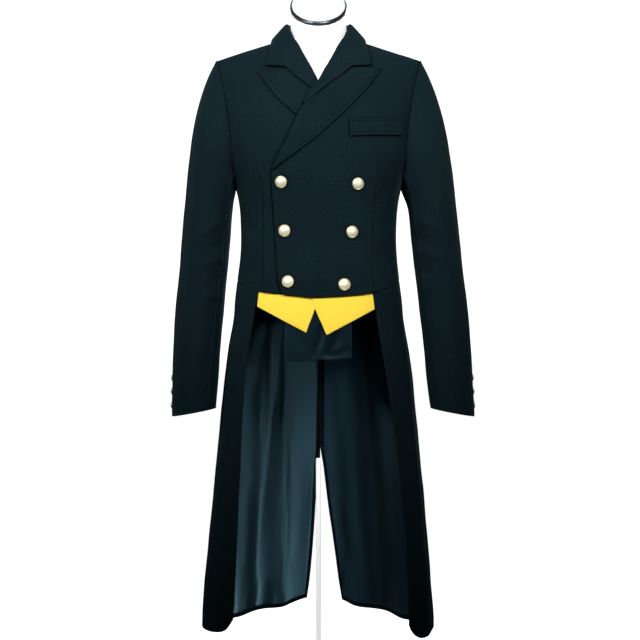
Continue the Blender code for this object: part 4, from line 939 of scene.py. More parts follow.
def wall(angle, height, side, out, thickness):
    """Outer and inner points of cloth that is `out` outside the plain body."""
    close = closing(angle.shape, thickness)
    return place(angle, height, side, out - close), place(angle, height, side, out - thickness + close)


def body_shell(name, spots, side, lift, material, groove=0.0):
    angle, height = spots[..., 0], spots[..., 1]
    faces = wall(angle, height, side, lift + drape(angle, height, side) - groove, CLOTH)
    return shell(name, *faces, material, "wool", name.removesuffix("_cloth"))


def pressed_seam(shape, column, fade=1.0):
    """Depths of the groove along a seam that follows one column of points."""
    groove = np.zeros(shape)
    for reach, depth in enumerate(SEAM_GROOVE):
        groove[:, column - reach] = depth * fade
        groove[:, column + reach] = depth * fade
    return groove


def dart_shares(rules, side, t):
    """Shares across a front that put fine columns on both sides of its seam, and the seam's groove."""
    start, end = spline(rules.keys, rules.start, t), spline(rules.keys, rules.end, t)
    height = mix(start[:, 1], end[:, 1], DART_SHARE)
    seam = front_angle(read(DARTS, WORDS[side], height), height)
    middle = (seam - start[:, 0]) / (end[:, 0] - start[:, 0])
    near = ladder(DART_SIDES[0], CLOTH_STEP, high=SEAM_STEPS)
    far = ladder(DART_SIDES[1], CLOTH_STEP, low=SEAM_STEPS)
    s = np.concatenate((middle[:, None] * near[:-1], mix(middle[:, None], 1.0, far)), axis=1)
    return s, pressed_seam(s.shape, len(near) - 1, 1 - ease(height, *DART_TOP))


def front_shell(side, material):
    name = f"front_{WORDS[side]}_cloth"
    rules = front_rules(side)
    t = ladder(FRONT_LENGTH, CLOTH_STEP)
    s, groove = dart_shares(rules, side, t)
    spots = rules.at(s, t[:, None])
    lift = 0.0
    if side == LEFT:
        lift = over_lift(body(spots[..., 0], spots[..., 1], side)[..., 0], spots[..., 1])
    return body_shell(name, spots, side, lift, material, groove)


# Panels with no seam of their own: edges, nominal width and length, and the spacing of points
PANELS = {
    "side": (side_rules, 0.16, 0.22, CLOTH_STEP),
    "back": (back_rules, 0.16, 0.45, CLOTH_STEP),
    "tail": (tail_rules, 0.38, 0.67, TAIL_STEP),
}


def panel_shell(part, side, material):
    rules, width, length, step = PANELS[part]
    spots = rules(side).at(ladder(width, step), ladder(length, step)[:, None])
    return body_shell(f"{part}_{WORDS[side]}_cloth", spots, side, 0.0, material)


def lining_folds(angle, height, side):
    """How far the satin stands inwards: long folds and small puckers over its hem."""
    folds = LINING_FULLNESS * creases(LINING_CREASES[side], BODY_ARC, angle, height)
    girth = BODY_RADIUS * np.radians(angle)
    pucker = 0.0
    for wave in WAVES:
        length = abs(wave.across) * PUCKER_PACE
        pucker = pucker + wave.share * np.sin(2 * np.pi * girth / length + wave.phase)
    fade = (1 - ease(height, *PUCKER_TOP)) * ease(height, *PUCKER_FOOT)
    return np.maximum(folds + PUCKER_DEPTH * np.maximum(pucker, 0.0) * fade, 0.0)


def lining_shell(side, material):
    name = f"tail_lining_{WORDS[side]}"
    width, length = LINING_SIZE
    s = mix(*LINING_SPAN, ladder(width, TAIL_STEP))
    t = mix(*LINING_RISE, ladder(length, TAIL_STEP))
    spots = tail_rules(side).at(s, t[:, None])
    angle, height = spots[..., 0], spots[..., 1]
    out = -LINING_DEPTH + drape(angle, height, side) - lining_folds(angle, height, side)
    return shell(f"{name}_satin", *wall(angle, height, side, out, SATIN), material, "satin", name)


def grid_facing(grid):
    """Normals of a grid of points, from its neighbours."""
    return unit(np.cross(np.gradient(grid, axis=1), np.gradient(grid, axis=0)))


def half_turns(turns):
    """Degrees from -180 to 180."""
    return (turns + 180.0) % 360.0 - 180.0


def sleeve_rings(side, turns, rises):
    """Plain outer face of a sleeve at degrees round it and rises from 0, the armhole, to 1, the cuff."""
    keys = np.arange(len(SLEEVE)) / (len(SLEEVE) - 1)
    table = np.array([(row.height, row.outer, row.inner, row.centre_y, row.half_depth) for row in SLEEVE])
    down = np.clip((rises - HEAD_SHARE) / (1 - HEAD_SHARE), 0.0, 1.0)
    height, outer, inner, centre_y, half_depth = np.moveaxis(spline(keys, table, down), -1, 0)
    lean = mix(*LEFT_LEAN, down) if side == LEFT else 0.0
    turn = np.radians(turns)
    x = 0.5 * (outer + inner) + lean + 0.5 * (outer - inner) * np.cos(turn)
    y = centre_y - half_depth * np.sin(turn)
    z = height - CUFF_TILT * np.cos(turn) * ease(down, CUFF_TILT_START, 1.0)
    target = np.stack((x * side, y, z), axis=-1)
    wrapped = half_turns(turns)
    share = np.abs(wrapped) / 180.0
    front, back = (head_start(share, column, side) for column in ("front", "back"))
    start = np.where((wrapped >= 0)[..., None], front, back)
    reach = np.linalg.norm(target - start, axis=-1, keepdims=True)
    under = LEAVE_OUT_UNDER * np.maximum(-np.cos(turn), 0.0)
    outward = LEAVE_OUT + LEAVE_OUT_SIDES * np.abs(np.sin(turn)) - under
    downward = np.full(turn.shape, -LEAVE_DOWN)
    leave = unit(np.stack((outward * side, -LEAVE_FRONT * np.sin(turn), downward), axis=-1))
    arrive = np.array((ARRIVE.x * side, ARRIVE.y, ARRIVE.z))
    t = np.clip(rises / HEAD_SHARE, 0.0, 1.0)[..., None]
    head = hermite(start, target, leave * reach, arrive * reach, t)
    return np.where((rises < HEAD_SHARE)[..., None], head, target)


def head_start(share, column, side):
    """Where the sleeve head meets the armhole."""
    pairs = armhole(share, column, side)
    return body(pairs[..., 0], pairs[..., 1], side) + np.array((side, 0.0, 0.0)) * HEAD_SEAM_GAP


def sleeve_turns(rises):
    """Degrees round a sleeve, with fine columns along its back seam and on both sides of its front seam."""
    height = mix(*SLEEVE_HEIGHTS, rises)
    back, front = (read(ARM_SEAMS, column, height)[:, None] for column in ("back", "front"))
    over, under = (ladder(girth, CLOTH_STEP, SEAM_STEPS, SEAM_STEPS) for girth in SLEEVE_GIRTHS)
    turns = np.concatenate((mix(back, front, over[:-1]), mix(front, back + 360.0, under)), axis=1)
    return turns, pressed_seam(turns.shape, len(over) - 1)


def sleeve_shell(side, material):
    name = f"sleeve_{WORDS[side]}"
    rises = ladder(SLEEVE_LENGTH, CLOTH_STEP)
    turns, groove = sleeve_turns(rises)
    rise = rises[:, None]
    plain = sleeve_rings(side, turns, np.broadcast_to(rise, turns.shape))
    normal = grid_facing(plain) * -side
    height = plain[..., 2]
    out = creases(ARM_CREASES[side], ARM_ARC, half_turns(turns), height) * ease(rise, 0.05, 0.15)
    out = out + softness(ARM_RADIUS * np.radians(turns), height) * ease(rise, 0.02, 0.1) - groove
    out = out - HEAD_SEAM_DEPTH * np.exp(-((rise / HEAD_SEAM_SHARE) ** 2))
    close = closing(turns.shape, CLOTH)
    outer = plain + normal * (out - close)[..., None]
    inner = plain + normal * (out - CLOTH + close)[..., None]
    return shell(f"{name}_cloth", outer, inner, material, "wool", name)


def edge_columns(width, count, low, high):
    """Distances across rows of unlike width: fine steps at both ends, drawn together where it is narrow."""
    squeeze = np.minimum(1.0, width / NARROW)[..., None]
    low, high = np.array(low) * squeeze, np.array(high)[::-1] * squeeze
    even = mix(low[..., -1:], width[..., None] - high[..., :1], np.linspace(0.0, 1.0, count + 1)[1:-1])
    return np.concatenate((low, even, width[..., None] - high), axis=-1), squeeze


def stitch_groove(*distances):
    """Pressed line at the stitching's inset from each edge; a line stops where it meets the next one."""
    deepest = 0.0
    for k, here in enumerate(distances):
        line = np.exp(-(((here - STITCH_INSET) / GROOVE_WIDTH) ** 2))
        for other in distances[:k] + distances[k + 1:]:
            line = line * (other > STITCH_INSET - GROOVE_WIDTH)
        deepest = np.maximum(deepest, line)
    return STITCH_GROOVE * deepest


def roll(distance, width):
    """Height of a lapel over the front, from its rolled fold to where it lies flat."""
    narrow = np.minimum(1.0, width / NARROW)
    bulge = ROLL_HEIGHT * narrow * (distance / ROLL_PEAK) * np.exp(1 - distance / ROLL_PEAK)
    return ROLL_LEAST + (LAYER - ROLL_LEAST) * (1 - np.exp(-distance / ROLL_FOOT)) + bulge


def lapel_shell(side, rows, corners, material, thread):
    name = f"lapel_{WORDS[side]}"
    start = [(row.roll_x, row.roll_height) for row in rows]
    end = [(row.edge_x, row.edge_height) for row in rows]
    rules = Patch(start, end, line_rule(start[0], end[0]), corner_rule(corners))
    low_length, high_length = rules.lengths()
    even = np.linspace(0, 1, LAPEL_COLUMNS + 1)[1:-1]
    nominal = np.concatenate((np.zeros(len(ROLL_STEPS)), even, np.ones(len(STITCH_STEPS))))
    length = mix(low_length, high_length, nominal)
    up, _ = edge_columns(length, LAPEL_ROWS, EDGE_STEPS, STITCH_STEPS)
    t = (up / length[:, None]).T
    width = rules.width(t)
    across, squeeze = edge_columns(width[:, 0], LAPEL_COLUMNS, ROLL_STEPS, STITCH_STEPS)
    widths = width[:, :1]
    s = across / widths
    spots = rules.at(s, t)
    x, height = spots[..., 0], spots[..., 1]
    groove = stitch_groove((widths - across) / squeeze, (length[:, None] - up).T)
    close = closing(x.shape, CLOTH)
    close[:, :3] = 0.0
    out = roll(across, widths) - groove - close
    outer = on_front(x, height, side, out)
    inner = on_front(x, height, side, np.maximum(out - CLOTH + 2 * close, ROLL_LEAST / 2))
    obj = shell(f"{name}_cloth", outer, inner, material, "wool", name)
    first = len(EDGE_STEPS)
    column, row = (count - 1 - STITCH_STEPS.index(STITCH_INSET) for count in outer.shape[1::-1])

    def seam(grid):
        return np.concatenate((grid[first:row, column], grid[row, column:first:-1]))

    stitches(f"{name}_stitching", seam(outer), seam(grid_facing(outer) * side), thread)
    return obj


def run(steps):
    """Lengths reached after each of a row of steps."""
    return np.concatenate(((0.0,), np.cumsum(steps)))


def stitches(name, path, normals, thread):
    """Row of small raised stitches along a path, as one piece."""
    reached = run(np.linalg.norm(np.diff(path, axis=0), axis=-1))
    middles = np.arange(STITCH_PITCH, reached[-1] - STITCH_PITCH, STITCH_PITCH)
    half = STITCH_LENGTH / 2

    def along(at, values):
        return np.stack([np.interp(at, reached, values[:, axis]) for axis in range(3)], axis=-1)

    tail_end, head_end = along(middles - half, path), along(middles + half, path)
    middle, up = along(middles, path), unit(along(middles, normals))
    aside = unit(np.cross(up, head_end - tail_end)) * STITCH_HALF_WIDTH
    rise = up * STITCH_HEIGHT
    ring = (middle + aside, middle + rise, middle - aside, middle - rise)
    corners = np.stack((tail_end, *ring, head_end), axis=1)
    sides = [(1, 2), (2, 3), (3, 4), (4, 1)]
    pattern = np.array([(0, j, k) for j, k in sides] + [(5, k, j) for j, k in sides])
    faces = (pattern[None] + 6 * np.arange(len(middles))[:, None, None]).reshape(-1, 3)
    obj = mesh_object(name, corners, faces, thread, 80)
    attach(obj, "root")
    return obj


def welt_shell(material, thread):
    low_in, low_out, high_out, high_in = WELT
    rules = corner_patch((low_in, low_out, high_in, high_out))
    width, height = low_out.x - low_in.x, high_in.height - low_in.height
    s, t = (ladder(size, FINE_STEP, STITCH_STEPS, STITCH_STEPS) for size in (width, height))
    t = t[:, None]
    spots = rules.at(s, t)
    groove = stitch_groove(*np.broadcast_arrays(s * width, (1 - s) * width, t * height, (1 - t) * height))
    close = closing(spots.shape[:2], CLOTH)
    out = LAYER + WELT_PROUD - groove
    outer = on_front(spots[..., 0], spots[..., 1], LEFT, out - close)
    inner = on_front(spots[..., 0], spots[..., 1], LEFT, out - CLOTH + close)
    obj = shell("breast_welt_cloth", outer, inner, material, "wool", "breast_welt")
    k = STITCH_STEPS.index(STITCH_INSET)

    def rim(grid):
        low, high = grid[k], grid[-k - 1]
        start, end = grid[:, k], grid[:, -k - 1]
        return np.concatenate((low[k:-k - 1], end[k:-k - 1], high[-k - 1:k:-1], start[-k - 1:k:-1]))

    stitches("breast_welt_stitching", rim(outer), rim(grid_facing(outer)), thread)
    return obj


def collar_station(station, side):
    """Visible face of the collar across one station, from the leg inside the neck over the fold."""
    on_chest = station.fold_y is None
    if on_chest:
        fold = on_front(station.fold_x, station.fold_z, side, 0.0)
        edge = on_front(station.edge_x, station.edge_z, side, LAYER)
        up = facing(front_angle(station.fold_x, station.fold_z), station.fold_z, side)
    else:
        fold = np.array((station.fold_x * side, station.fold_y, station.fold_z))
        edge = np.array((station.edge_x * side, station.edge_y, station.edge_z))
        up = np.array(FRONT_LEG_LEAN if station.fold_y < FRONT_LEG_Y else (0.0, 0.0, 1.0))
    along = edge - fold
    along = unit(along - up * np.dot(along, up))
    share = np.linalg.norm(edge - fold) / END_REACH
    if share < 1:
        steps = [(row.along * share, row.rise) for row in END_FOLD]
    else:
        rise = FOLD_RISE + ROLL_RISE * station.roll
        steps = [(row.along, row.rise * rise) for row in FULL_FOLD]
    points = [fold - up * station.leg] + [fold + along * reach + up * rise for reach, rise in steps]
    start = points[-1]
    for step in COLLAR_FALL_STEPS:
        if on_chest:
            x = mix(station.fold_x, station.edge_x, step)
            height = mix(station.fold_z, station.edge_z, step)
            points.append(on_front(x, height, side, LAYER + COLLAR_BULGE * station.roll * (1 - step)))
        else:
            points.append(mix(start, edge, step) + np.array((0.0, 0.0, COLLAR_SAG * step * (1 - step))))
    return points


def fine_steps(points):
    """Fine places along the smooth curve through a row of points, and the lengths between them."""
    order = np.arange(len(points))
    fine = np.linspace(0, order[-1], CURVE_STEPS * len(points))
    return fine, np.linalg.norm(np.diff(spline(order, points, fine), axis=0), axis=-1)


def resample(points, wanted):
    """Points at given lengths along the smooth curve through a row of points."""
    fine, steps = fine_steps(points)
    return spline(np.arange(len(points)), points, np.interp(wanted, run(steps), fine))


def collar_grid():
    """Fine points of the collar, and their distances from its outer edge and its two ends."""
    left = [collar_station(station, LEFT) for station in COLLAR_FRONT_END + COLLAR]
    right = [collar_station(station, RIGHT) for station in (COLLAR_UNDER_END,) + COLLAR[:-1]]
    stations = np.array(left + right[::-1])
    lengths = np.array([fine_steps(row)[1].sum() for row in stations])
    across, squeeze = edge_columns(lengths, COLLAR_COLUMNS, EDGE_STEPS, STITCH_STEPS)
    rows = np.array([resample(row, wanted) for row, wanted in zip(stations, across)])
    to_edge = (lengths[:, None] - across) / squeeze
    steps = np.linalg.norm(np.diff(rows[:, -1], axis=0), axis=-1)
    keys = run(np.maximum(steps, COLLAR_LEAST))
    at = ladder(keys[-1], FINE_STEP * COLLAR_STEP, STITCH_STEPS, STITCH_STEPS) * keys[-1]
    whole = spline(keys, rows, at)
    broken = np.empty(whole.shape)
    first = len(COLLAR_FRONT_END)
    last = len(rows) - 1
    near = [first + k for k in COLLAR_CORNERS]
    far = [last - 1 - k for k in COLLAR_CORNERS[::-1]]
    corners = [0, *near, *far, last]
    for low, high in zip(corners, corners[1:]):
        here = (at >= keys[low]) & (at <= keys[high])
        broken[here] = spline(keys[low:high + 1], rows[low:high + 1], at[here])
    share = np.linspace(0, 1, rows.shape[1])
    grid = mix(whole, broken, ease(share, *COLLAR_BREAK)[None, :, None])
    distances = np.broadcast_arrays(spline(keys, to_edge, at), at[:, None], keys[-1] - at[:, None])
    return grid, distances


def collar_shell(material, thread):
    grid, distances = collar_grid()
    normal = -grid_facing(grid)
    groove = stitch_groove(*distances)
    close = closing(groove.shape, CLOTH)
    outer = grid - normal * (groove + close)[..., None]
    inner = grid - normal * (CLOTH - close)[..., None]
    obj = shell("collar_cloth", outer, inner, material, "wool", "collar")
    k = STITCH_STEPS.index(STITCH_INSET)
    stitches("collar_stitching", outer[k:-k - 1, -k - 1], normal[k:-k - 1, -k - 1], thread)
    return obj


def hanging_shell(name, rules, size, out, relief, thickness, material, slot):
    """Shell inside the front, through x and height pairs that may cross the middle."""
    width, height = size
    spots = rules.at(ladder(width, FINE_STEP), ladder(height, FINE_STEP)[:, None])
    x, z = spots[..., 0], spots[..., 1]
    faces = wall(front_angle(x, z), z, LEFT, out(x) - relief(x, z), thickness)
    return shell(name, *faces, material, slot, name.rsplit("_", 1)[0])


def corner_patch(corners, bottom=None):
    low_start, low_end, high_start, high_end = corners
    low = bottom or line_rule(low_start, low_end)
    return Patch((low_start, high_start), (low_end, high_end), low, line_rule(high_start, high_end))


def point_shells(material):
    """The two points under the short fronts; the wearer's left one laps over the other."""
    def under(x):
        return -POINT_DEPTH - (POINT_CLOTH + GAP) * ease(x, *UNDER_POINT_X)

    def over(x):
        return np.full(np.shape(x), -POINT_DEPTH)

    def relief(x, z):
        return 0.5 * (softness(x * POINT_WAVES, z * POINT_WAVES) + SOFTNESS)

    low_start, low_end = LEFT_POINT[:2]
    tip = np.array(LEFT_POINT_TIP)
    corners = [low_start, tip] + [mix(tip, np.array(low_end), t) for t in LEFT_POINT_STEPS] + [low_end]
    pieces = (
        ("point_right_cloth", corner_patch(RIGHT_POINT), RIGHT_POINT_SIZE, under),
        ("point_left_cloth", corner_patch(LEFT_POINT, corner_rule(corners)), LEFT_POINT_SIZE, over),
    )
    return [hanging_shell(*piece, relief, POINT_CLOTH, material, "point_cloth") for piece in pieces]


def flap_shell(material):
    def out(x):
        return np.full(np.shape(x), -FLAP_DEPTH)

    def relief(x, z):
        return creases(FLAP_CREASES, 1.0, x, z) * (1 - ease(z, *FLAP_FADE))

    rules = corner_patch(FLAP)
    return hanging_shell("inner_flap_satin", rules, FLAP_SIZE, out, relief, SATIN, material, "satin")


def button_mesh(material, shaded_rim_material):
    """Domed button of radius 1 on its flat back."""
    turn = 2 * np.pi * np.arange(BUTTON_SIDES) / BUTTON_SIDES
    circle = np.stack((np.cos(turn), np.sin(turn)), axis=-1)
    rings = [
        np.column_stack((row.radius * circle, np.full(BUTTON_SIDES, row.height)))
        for row in BUTTON_PROFILE
    ]
    vertices = np.concatenate(rings).tolist() + [(0.0, 0.0, BUTTON_TOP)]
    faces = [tuple(range(BUTTON_SIDES))]
    pairs = [(j, (j + 1) % BUTTON_SIDES) for j in range(BUTTON_SIDES)]
    for low in range(0, (len(rings) - 1) * BUTTON_SIDES, BUTTON_SIDES):
        high = low + BUTTON_SIDES
        faces += [(low + j, low + k, high + k, high + j) for j, k in pairs]
    faces += [(high + j, high + k, len(vertices) - 1) for j, k in pairs]
    mesh = bpy.data.meshes.new("button")
    mesh.from_pydata(vertices, [], faces)
    surfaced(mesh, (material, shaded_rim_material), 60)
    for polygon in mesh.polygons:
        polygon.material_index = int(math.hypot(polygon.center.x, polygon.center.y) > RIM_SHARE)
    return mesh


def add_button(node, mesh, radius, point, normal):
    obj = linked(f"{node}_gold", mesh)
    obj.rotation_mode = "QUATERNION"
    obj.rotation_quaternion = Vector(normal).to_track_quat("Z", "Y")
    obj.location = Vector(point)
    obj.scale = (radius,) * 3
    in_place_of(obj, node, "button_metal")


def buttons(mesh):
    for row in FRONT_BUTTONS:
        point = on_front(row.x, row.height, LEFT, BUTTON_SINK)
        normal = facing(front_angle(row.x, row.height), row.height, LEFT)
        add_button(row.name, mesh, FRONT_BUTTON_RADIUS, point, normal)
    for side, word in WORDS.items():
        for number in range(1, CUFF_BUTTONS + 1):
            node = f"cuff_button_{word}_{number}"
            low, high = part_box(node)
            middle = (low + high) / 2
            normal = Vector((side, 0.0, CUFF_BUTTON_LEAN))
            seat = Vector((low.x if side == LEFT else high.x, middle.y, middle.z))
            add_button(node, mesh, CUFF_BUTTON_RADIUS, seat, normal.normalized())


class Shader:
    """A material's nodes, with one shader fed by texture nodes."""

    def __init__(self, name, colour, roughness, metallic=0.0, **fixed):
        self.material = bpy.data.materials.new(name)
        self.material.use_nodes = True
        self.tree = self.material.node_tree
        self.shader = self.tree.nodes["Principled BSDF"]
        self.set("Base Color", (*colour, 1.0))
        self.set("Roughness", roughness)
        self.set("Metallic", metallic)
        for socket, value in fixed.items():
            self.set(socket.replace("_", " "), value)

    def set(self, socket, value):
        self.shader.inputs[socket].default_value = value

    def node(self, kind, inputs=None, **settings):
        made = self.tree.nodes.new(kind)
        for key, value in settings.items():
            setattr(made, key, value)
        for key, value in (inputs or {}).items():
            if isinstance(value, bpy.types.NodeSocket):
                self.tree.links.new(value, made.inputs[key])
            else:
                made.inputs[key].default_value = value
        return made

    def link(self, source, socket):
        self.tree.links.new(source, self.shader.inputs[socket])

    def lengths(self):
        return self.node("ShaderNodeTexCoord").outputs["UV"]

    def places(self):
        return self.node("ShaderNodeTexCoord").outputs["Object"]

    def noise(self, vector, scale, detail=2.0, rough=0.5):
        inputs = {"Vector": vector, "Scale": scale, "Detail": detail, "Roughness": rough}
        return self.node("ShaderNodeTexNoise", inputs).outputs["Fac"]

    def stretch(self, vector, scale):
        return self.node("ShaderNodeMapping", {"Vector": vector, "Scale": scale}).outputs["Vector"]

    def wave(self, vector, scale, direction, distortion=0.0):
        inputs = {"Vector": vector, "Scale": scale, "Distortion": distortion, "Detail": 1.0}
        inputs["Detail Scale"] = 2.0
        return self.node("ShaderNodeTexWave", inputs, bands_direction=direction).outputs["Fac"]

    def ramp(self, factor, low, high, dark, light):
        made = self.node("ShaderNodeValToRGB", {"Fac": factor})
        for stop, place_at, colour in zip(made.color_ramp.elements, (low, high), (dark, light)):
            stop.position = place_at
            stop.color = (*colour, 1.0)
        return made.outputs["Color"]

    def spread(self, factor, low, high, span=(0.0, 1.0)):
        """A factor's range, which is 0 to 1 if not given, moved to low and high."""
        inputs = {"Value": factor, "From Min": span[0], "From Max": span[1], "To Min": low, "To Max": high}
        return self.node("ShaderNodeMapRange", inputs).outputs["Result"]

    def blend(self, factor, a, b):
        return self.node("ShaderNodeMix", {0: factor, 6: a, 7: b}, data_type="RGBA").outputs[2]

    def add(self, a, b, share):
        inputs = {0: b, 1: share, 2: a}
        return self.node("ShaderNodeMath", inputs, operation="MULTIPLY_ADD").outputs["Value"]

    def painted_seam_shade(self, reach, span):
        """Painted shade from ambient occlusion: 0 deep in a seam or beside an edge, 1 on open cloth."""
        open_share = self.node("ShaderNodeAmbientOcclusion", {"Distance": reach}, samples=8).outputs["AO"]
        return self.spread(open_share, 0.0, 1.0, span)

    def bump(self, height, strength, distance):
        made = self.node("ShaderNodeBump", {"Height": height, "Strength": strength, "Distance": distance})
        self.link(made.outputs["Normal"], "Normal")


def wool_material():
    made = Shader(
        "wool", (0.006, 0.014, 0.017), 0.88, Sheen_Weight=0.08, Sheen_Roughness=0.4,
        Sheen_Tint=(0.3, 0.66, 0.72, 1.0), Specular_IOR_Level=0.03,
    )
    lengths = made.lengths()
    twill = made.wave(lengths, 230.0, "DIAGONAL", 0.6)
    yarn = made.noise(made.stretch(lengths, (1500.0, 700.0, 1.0)), 1.0, 3.0, 0.6)
    slub = made.noise(lengths, 250.0, 4.0, 0.78)
    patch = made.noise(made.places(), 9.0, 2.0)
    colour = made.ramp(yarn, 0.3, 0.72, (0.0016, 0.006, 0.008), (0.01, 0.0262, 0.0315))
    colour = made.blend(made.spread(slub, -1.1, 1.9), colour, (0.001, 0.0042, 0.0058, 1.0))
    colour = made.blend(made.spread(patch, -0.45, 1.0), colour, (0.0036, 0.0076, 0.0128, 1.0))
    # Painted shade: the wool's colour turns near black in seams and beside edges
    colour = made.blend(made.painted_seam_shade(PAINTED_SHADE_REACH, PAINTED_SHADE_SPAN), (0.0006, 0.0012, 0.0016, 1.0), colour)
    made.link(colour, "Base Color")
    made.link(made.spread(yarn, 0.8, 0.95), "Roughness")
    made.bump(made.add(twill, yarn, 0.8), 0.55, 0.00022)
    return made.material


def satin_material(name, gloss):
    made = Shader(
        name, (0.004, 0.009, 0.013), 0.3, Specular_IOR_Level=gloss, Specular_Tint=(0.36, 0.8, 1.0, 1.0),
        Anisotropic=0.35, Sheen_Weight=0.03, Sheen_Tint=(0.4, 0.7, 0.9, 1.0),
    )
    lengths = made.lengths()
    long_grain = made.noise(made.stretch(lengths, (17.0, 2.2, 1.0)), 1.0, 1.0)
    thread = made.wave(lengths, 420.0, "Y", 0.3)
    cloud = made.noise(made.places(), 6.5, 2.0)
    colour = made.ramp(long_grain, 0.32, 0.7, (0.0026, 0.0062, 0.011), (0.007, 0.0165, 0.025))
    colour = made.blend(made.spread(cloud, 0.0, 0.5), colour, (0.0055, 0.013, 0.014, 1.0))
    made.link(colour, "Base Color")
    made.link(made.spread(long_grain, 0.25, 0.35), "Roughness")
    wrinkle = made.noise(made.stretch(lengths, (44.0, 9.0, 1.0)), 1.0, 1.5)
    made.bump(made.add(thread, wrinkle, 5.0), 0.3, 0.00022)
    return made.material


def point_material():
    made = Shader(
        "point_cloth", (0.96, 0.72, 0.055), 0.72, Sheen_Weight=0.2, Sheen_Roughness=0.5,
        Specular_IOR_Level=0.25,
    )
    lengths = made.lengths()
    twill = made.wave(lengths, 260.0, "DIAGONAL", 0.4)
    grain = made.noise(made.stretch(lengths, (900.0, 900.0, 1.0)), 1.0, 3.0, 0.6)
    cloud = made.noise(lengths, 45.0, 2.0)
    colour = made.ramp(grain, 0.25, 0.75, (0.9, 0.6, 0.038), (1.0, 0.77, 0.074))
    colour = made.blend(made.spread(cloud, 0.0, 0.35), colour, (0.98, 0.66, 0.043, 1.0))
    made.link(colour, "Base Color")
    made.bump(made.add(twill, grain, 0.7), 0.45, 0.0002)
    return made.material


def thread_material():
    made = Shader("thread", (0.006, 0.013, 0.016), 0.6, Sheen_Weight=0.2, Specular_IOR_Level=0.3)
    twist = made.noise(made.places(), 2400.0, 2.0)
    made.link(made.ramp(twist, 0.3, 0.7, (0.004, 0.009, 0.011), (0.012, 0.024, 0.028)), "Base Color")
    made.bump(twist, 0.4, 0.0001)
    return made.material


def metal_material(name, dark, light, roughness, metallic):
    """Worn plated metal, a little uneven."""
    made = Shader(name, light, roughness, metallic)
    wear = made.noise(made.places(), 3.5, 4.0)
    made.link(made.ramp(wear, 0.3, 0.68, dark, light), "Base Color")
    made.link(made.spread(wear, roughness * 0.75, roughness * 1.35), "Roughness")
    made.bump(made.noise(made.places(), 22.0, 2.0), 0.08, 0.02)
    return made.material


def painted_material(name, dark, light, roughness, grain, metallic=0.0, **fixed):
    """Plain finish with faint mottling and a fine grain."""
    made = Shader(name, light, roughness, metallic, **fixed)
    cloud = made.noise(made.places(), 14.0, 3.0)
    mottle = made.noise(made.places(), 60.0, 2.0)
    made.link(made.ramp(cloud, 0.35, 0.65, dark, light), "Base Color")
    made.link(made.spread(mottle, roughness * 0.85, roughness * 1.15), "Roughness")
    made.bump(made.noise(made.places(), grain, 2.0), 0.12, 0.0004)
    return made.material


def finish_node(node, material, slot, smooth_angle=35):
    """Smooth copy of a rigid solid, in its place, with its own finish."""
    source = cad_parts[node]
    mesh = source.data.copy()
    work = bmesh.new()
    work.from_mesh(mesh)
    bmesh.ops.remove_doubles(work, verts=work.verts, dist=0.00001)
    work.to_mesh(mesh)
    work.free()
    surfaced(mesh, (material,), smooth_angle)
    in_place_of(linked(f"{node}_finish", mesh), node, slot)


def rigid_finishes():
    skin = painted_material("form_skin", (0.86, 0.87, 0.88), (0.92, 0.92, 0.92), 0.62, 900.0)
    ring = painted_material("ring_metal", (0.03, 0.034, 0.04), (0.06, 0.066, 0.075), 0.32, 700.0, 0.8)
    cap = painted_material("cap_paint", (0.74, 0.82, 0.9), (0.8, 0.88, 0.95), 0.3, 500.0)
    rod = painted_material(
        "rod_metal", (0.002, 0.005, 0.008), (0.004, 0.008, 0.012), 0.85, 700.0, Specular_IOR_Level=0.05,
    )
    # The stand's white paint also glows, as painted light, so that it shows as white as the surround
    white = painted_material(
        "stand_paint", (0.93, 0.93, 0.94), (0.97, 0.97, 0.97), 0.42, 1200.0,
        Emission_Color=(1.0, 1.0, 1.0, 1.0), Emission_Strength=0.55,
    )
    finish_node("form", skin, "form_skin", 50)
    finish_node("neck_ring", ring, "ring_metal")
    finish_node("neck_cap", cap, "cap_paint", 60)
    finish_node("stand_rod", rod, "rod_metal")
    for node in ("stand_tube", "stand_socket", "stand_base"):
        finish_node(node, white, "stand_paint")


def cloth_pieces():
    wool, yellow, thread = wool_material(), point_material(), thread_material()
    # The flap's satin is a copy with far less gloss: painted shade, as the flap hangs in the shade of the
    # fronts
    satin, shaded_satin = satin_material("satin", 0.52), satin_material("satin_flap", 0.1)
    made = []
    for side in WORDS:
        made += [front_shell(side, wool), panel_shell("side", side, wool), panel_shell("back", side, wool)]
        made += [sleeve_shell(side, wool), panel_shell("tail", side, wool), lining_shell(side, satin)]
    made.append(lapel_shell(LEFT, OVER_LAPEL, OVER_TOP, wool, thread))
    made.append(lapel_shell(RIGHT, UNDER_LAPEL, UNDER_TOP, wool, thread))
    made += [collar_shell(wool, thread), welt_shell(wool, thread)]
    made += [*point_shells(yellow), flap_shell(shaded_satin)]
    return made


def declare():
    """Read through the pieces that each cut rests on; nothing is stated or kept."""
    for cut in CUTS:
        list(cut.rests_on)


def area_light(row):
    data = bpy.data.lights.new(row.name, "AREA")
    data.shape = "RECTANGLE"
    data.size, data.size_y = row.size
    data.energy = row.energy
    data.spread = math.radians(row.spread)
    obj = linked(row.name, data)
    obj.location = row.place
    obj.rotation_euler = (Vector(row.aim) - Vector(row.place)).to_track_quat("-Z", "Y").to_euler()
    return obj


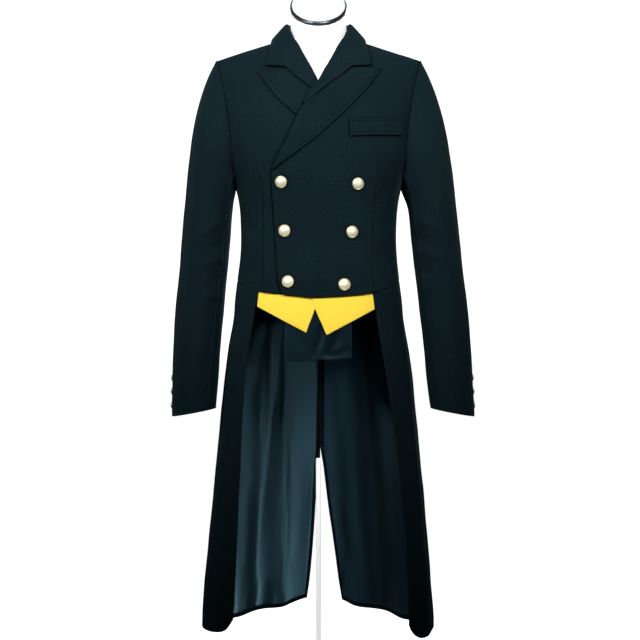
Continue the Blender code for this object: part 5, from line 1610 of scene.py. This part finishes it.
def glowing(obj, name, colour, glow, hidden_rays):
    """Name a plain white thing, let it glow, and hide it from some rays."""
    made = Shader(name, colour, 0.9, Emission_Color=(*colour, 1.0), Emission_Strength=glow)
    obj.name = name
    obj.data.materials.append(made.material)
    for ray in hidden_rays:
        setattr(obj, f"visible_{ray}", False)
    return obj


def studio(cloth):
    """White studio: soft boxes, a pale floor and a plain white surround that only the camera sees."""
    world = bpy.data.worlds.new("studio")
    bpy.context.scene.world = world
    world.use_nodes = True
    sky = world.node_tree.nodes["Background"].inputs
    sky["Color"].default_value = SKY_COLOUR
    sky["Strength"].default_value = SKY_STRENGTH
    lights = {row.name: area_light(row) for row in LIGHTS}
    lights["cool"].data.color = COOL_COLOUR
    linings = bpy.data.collections.new("linings")
    for obj in cloth:
        if obj.name.startswith("tail_lining"):
            linings.objects.link(obj)
    for name in LINING_LIGHTS:
        lights[name].visible_diffuse = False
        lights[name].light_linking.receiver_collection = linings
    bpy.ops.mesh.primitive_plane_add(size=FLOOR_SIZE)
    rays = ("diffuse", "glossy")
    floor = glowing(bpy.context.object, "floor", (0.96, 0.96, 0.96), FLOOR_GLOW, rays)
    bpy.ops.mesh.primitive_uv_sphere_add(radius=SURROUND_RADIUS, segments=64, ring_count=32)
    rays += ("transmission", "volume_scatter", "shadow")
    surround = glowing(bpy.context.object, "surround", (1.0, 1.0, 1.0), SURROUND_GLOW, rays)


def camera():
    data = bpy.data.cameras.new("camera")
    data.sensor_width = SENSOR
    data.lens = SENSOR * -CAMERA[1] / VIEW_WIDTH
    obj = linked("camera", data)
    obj.location = CAMERA
    obj.rotation_euler = (math.radians(90.0), 0.0, 0.0)
    bpy.context.scene.camera = obj


def main():
    for name in ("Cube", "Light", "Camera"):
        if name in bpy.data.objects:
            bpy.data.objects.remove(bpy.data.objects[name])
    camera()
    cloth = cloth_pieces()
    gold = metal_material("button_metal", (0.86, 0.78, 0.52), (0.97, 0.94, 0.78), 0.34, 0.45)
    # The rim's darker metal colour is painted shade round each button's edge
    rim = metal_material("button_rim", (0.34, 0.29, 0.12), (0.7, 0.62, 0.32), 0.36, 0.8)
    buttons(button_mesh(gold, rim))
    rigid_finishes()
    declare()
    studio(cloth)
    bpy.context.scene.view_settings.view_transform = "Standard"


main()
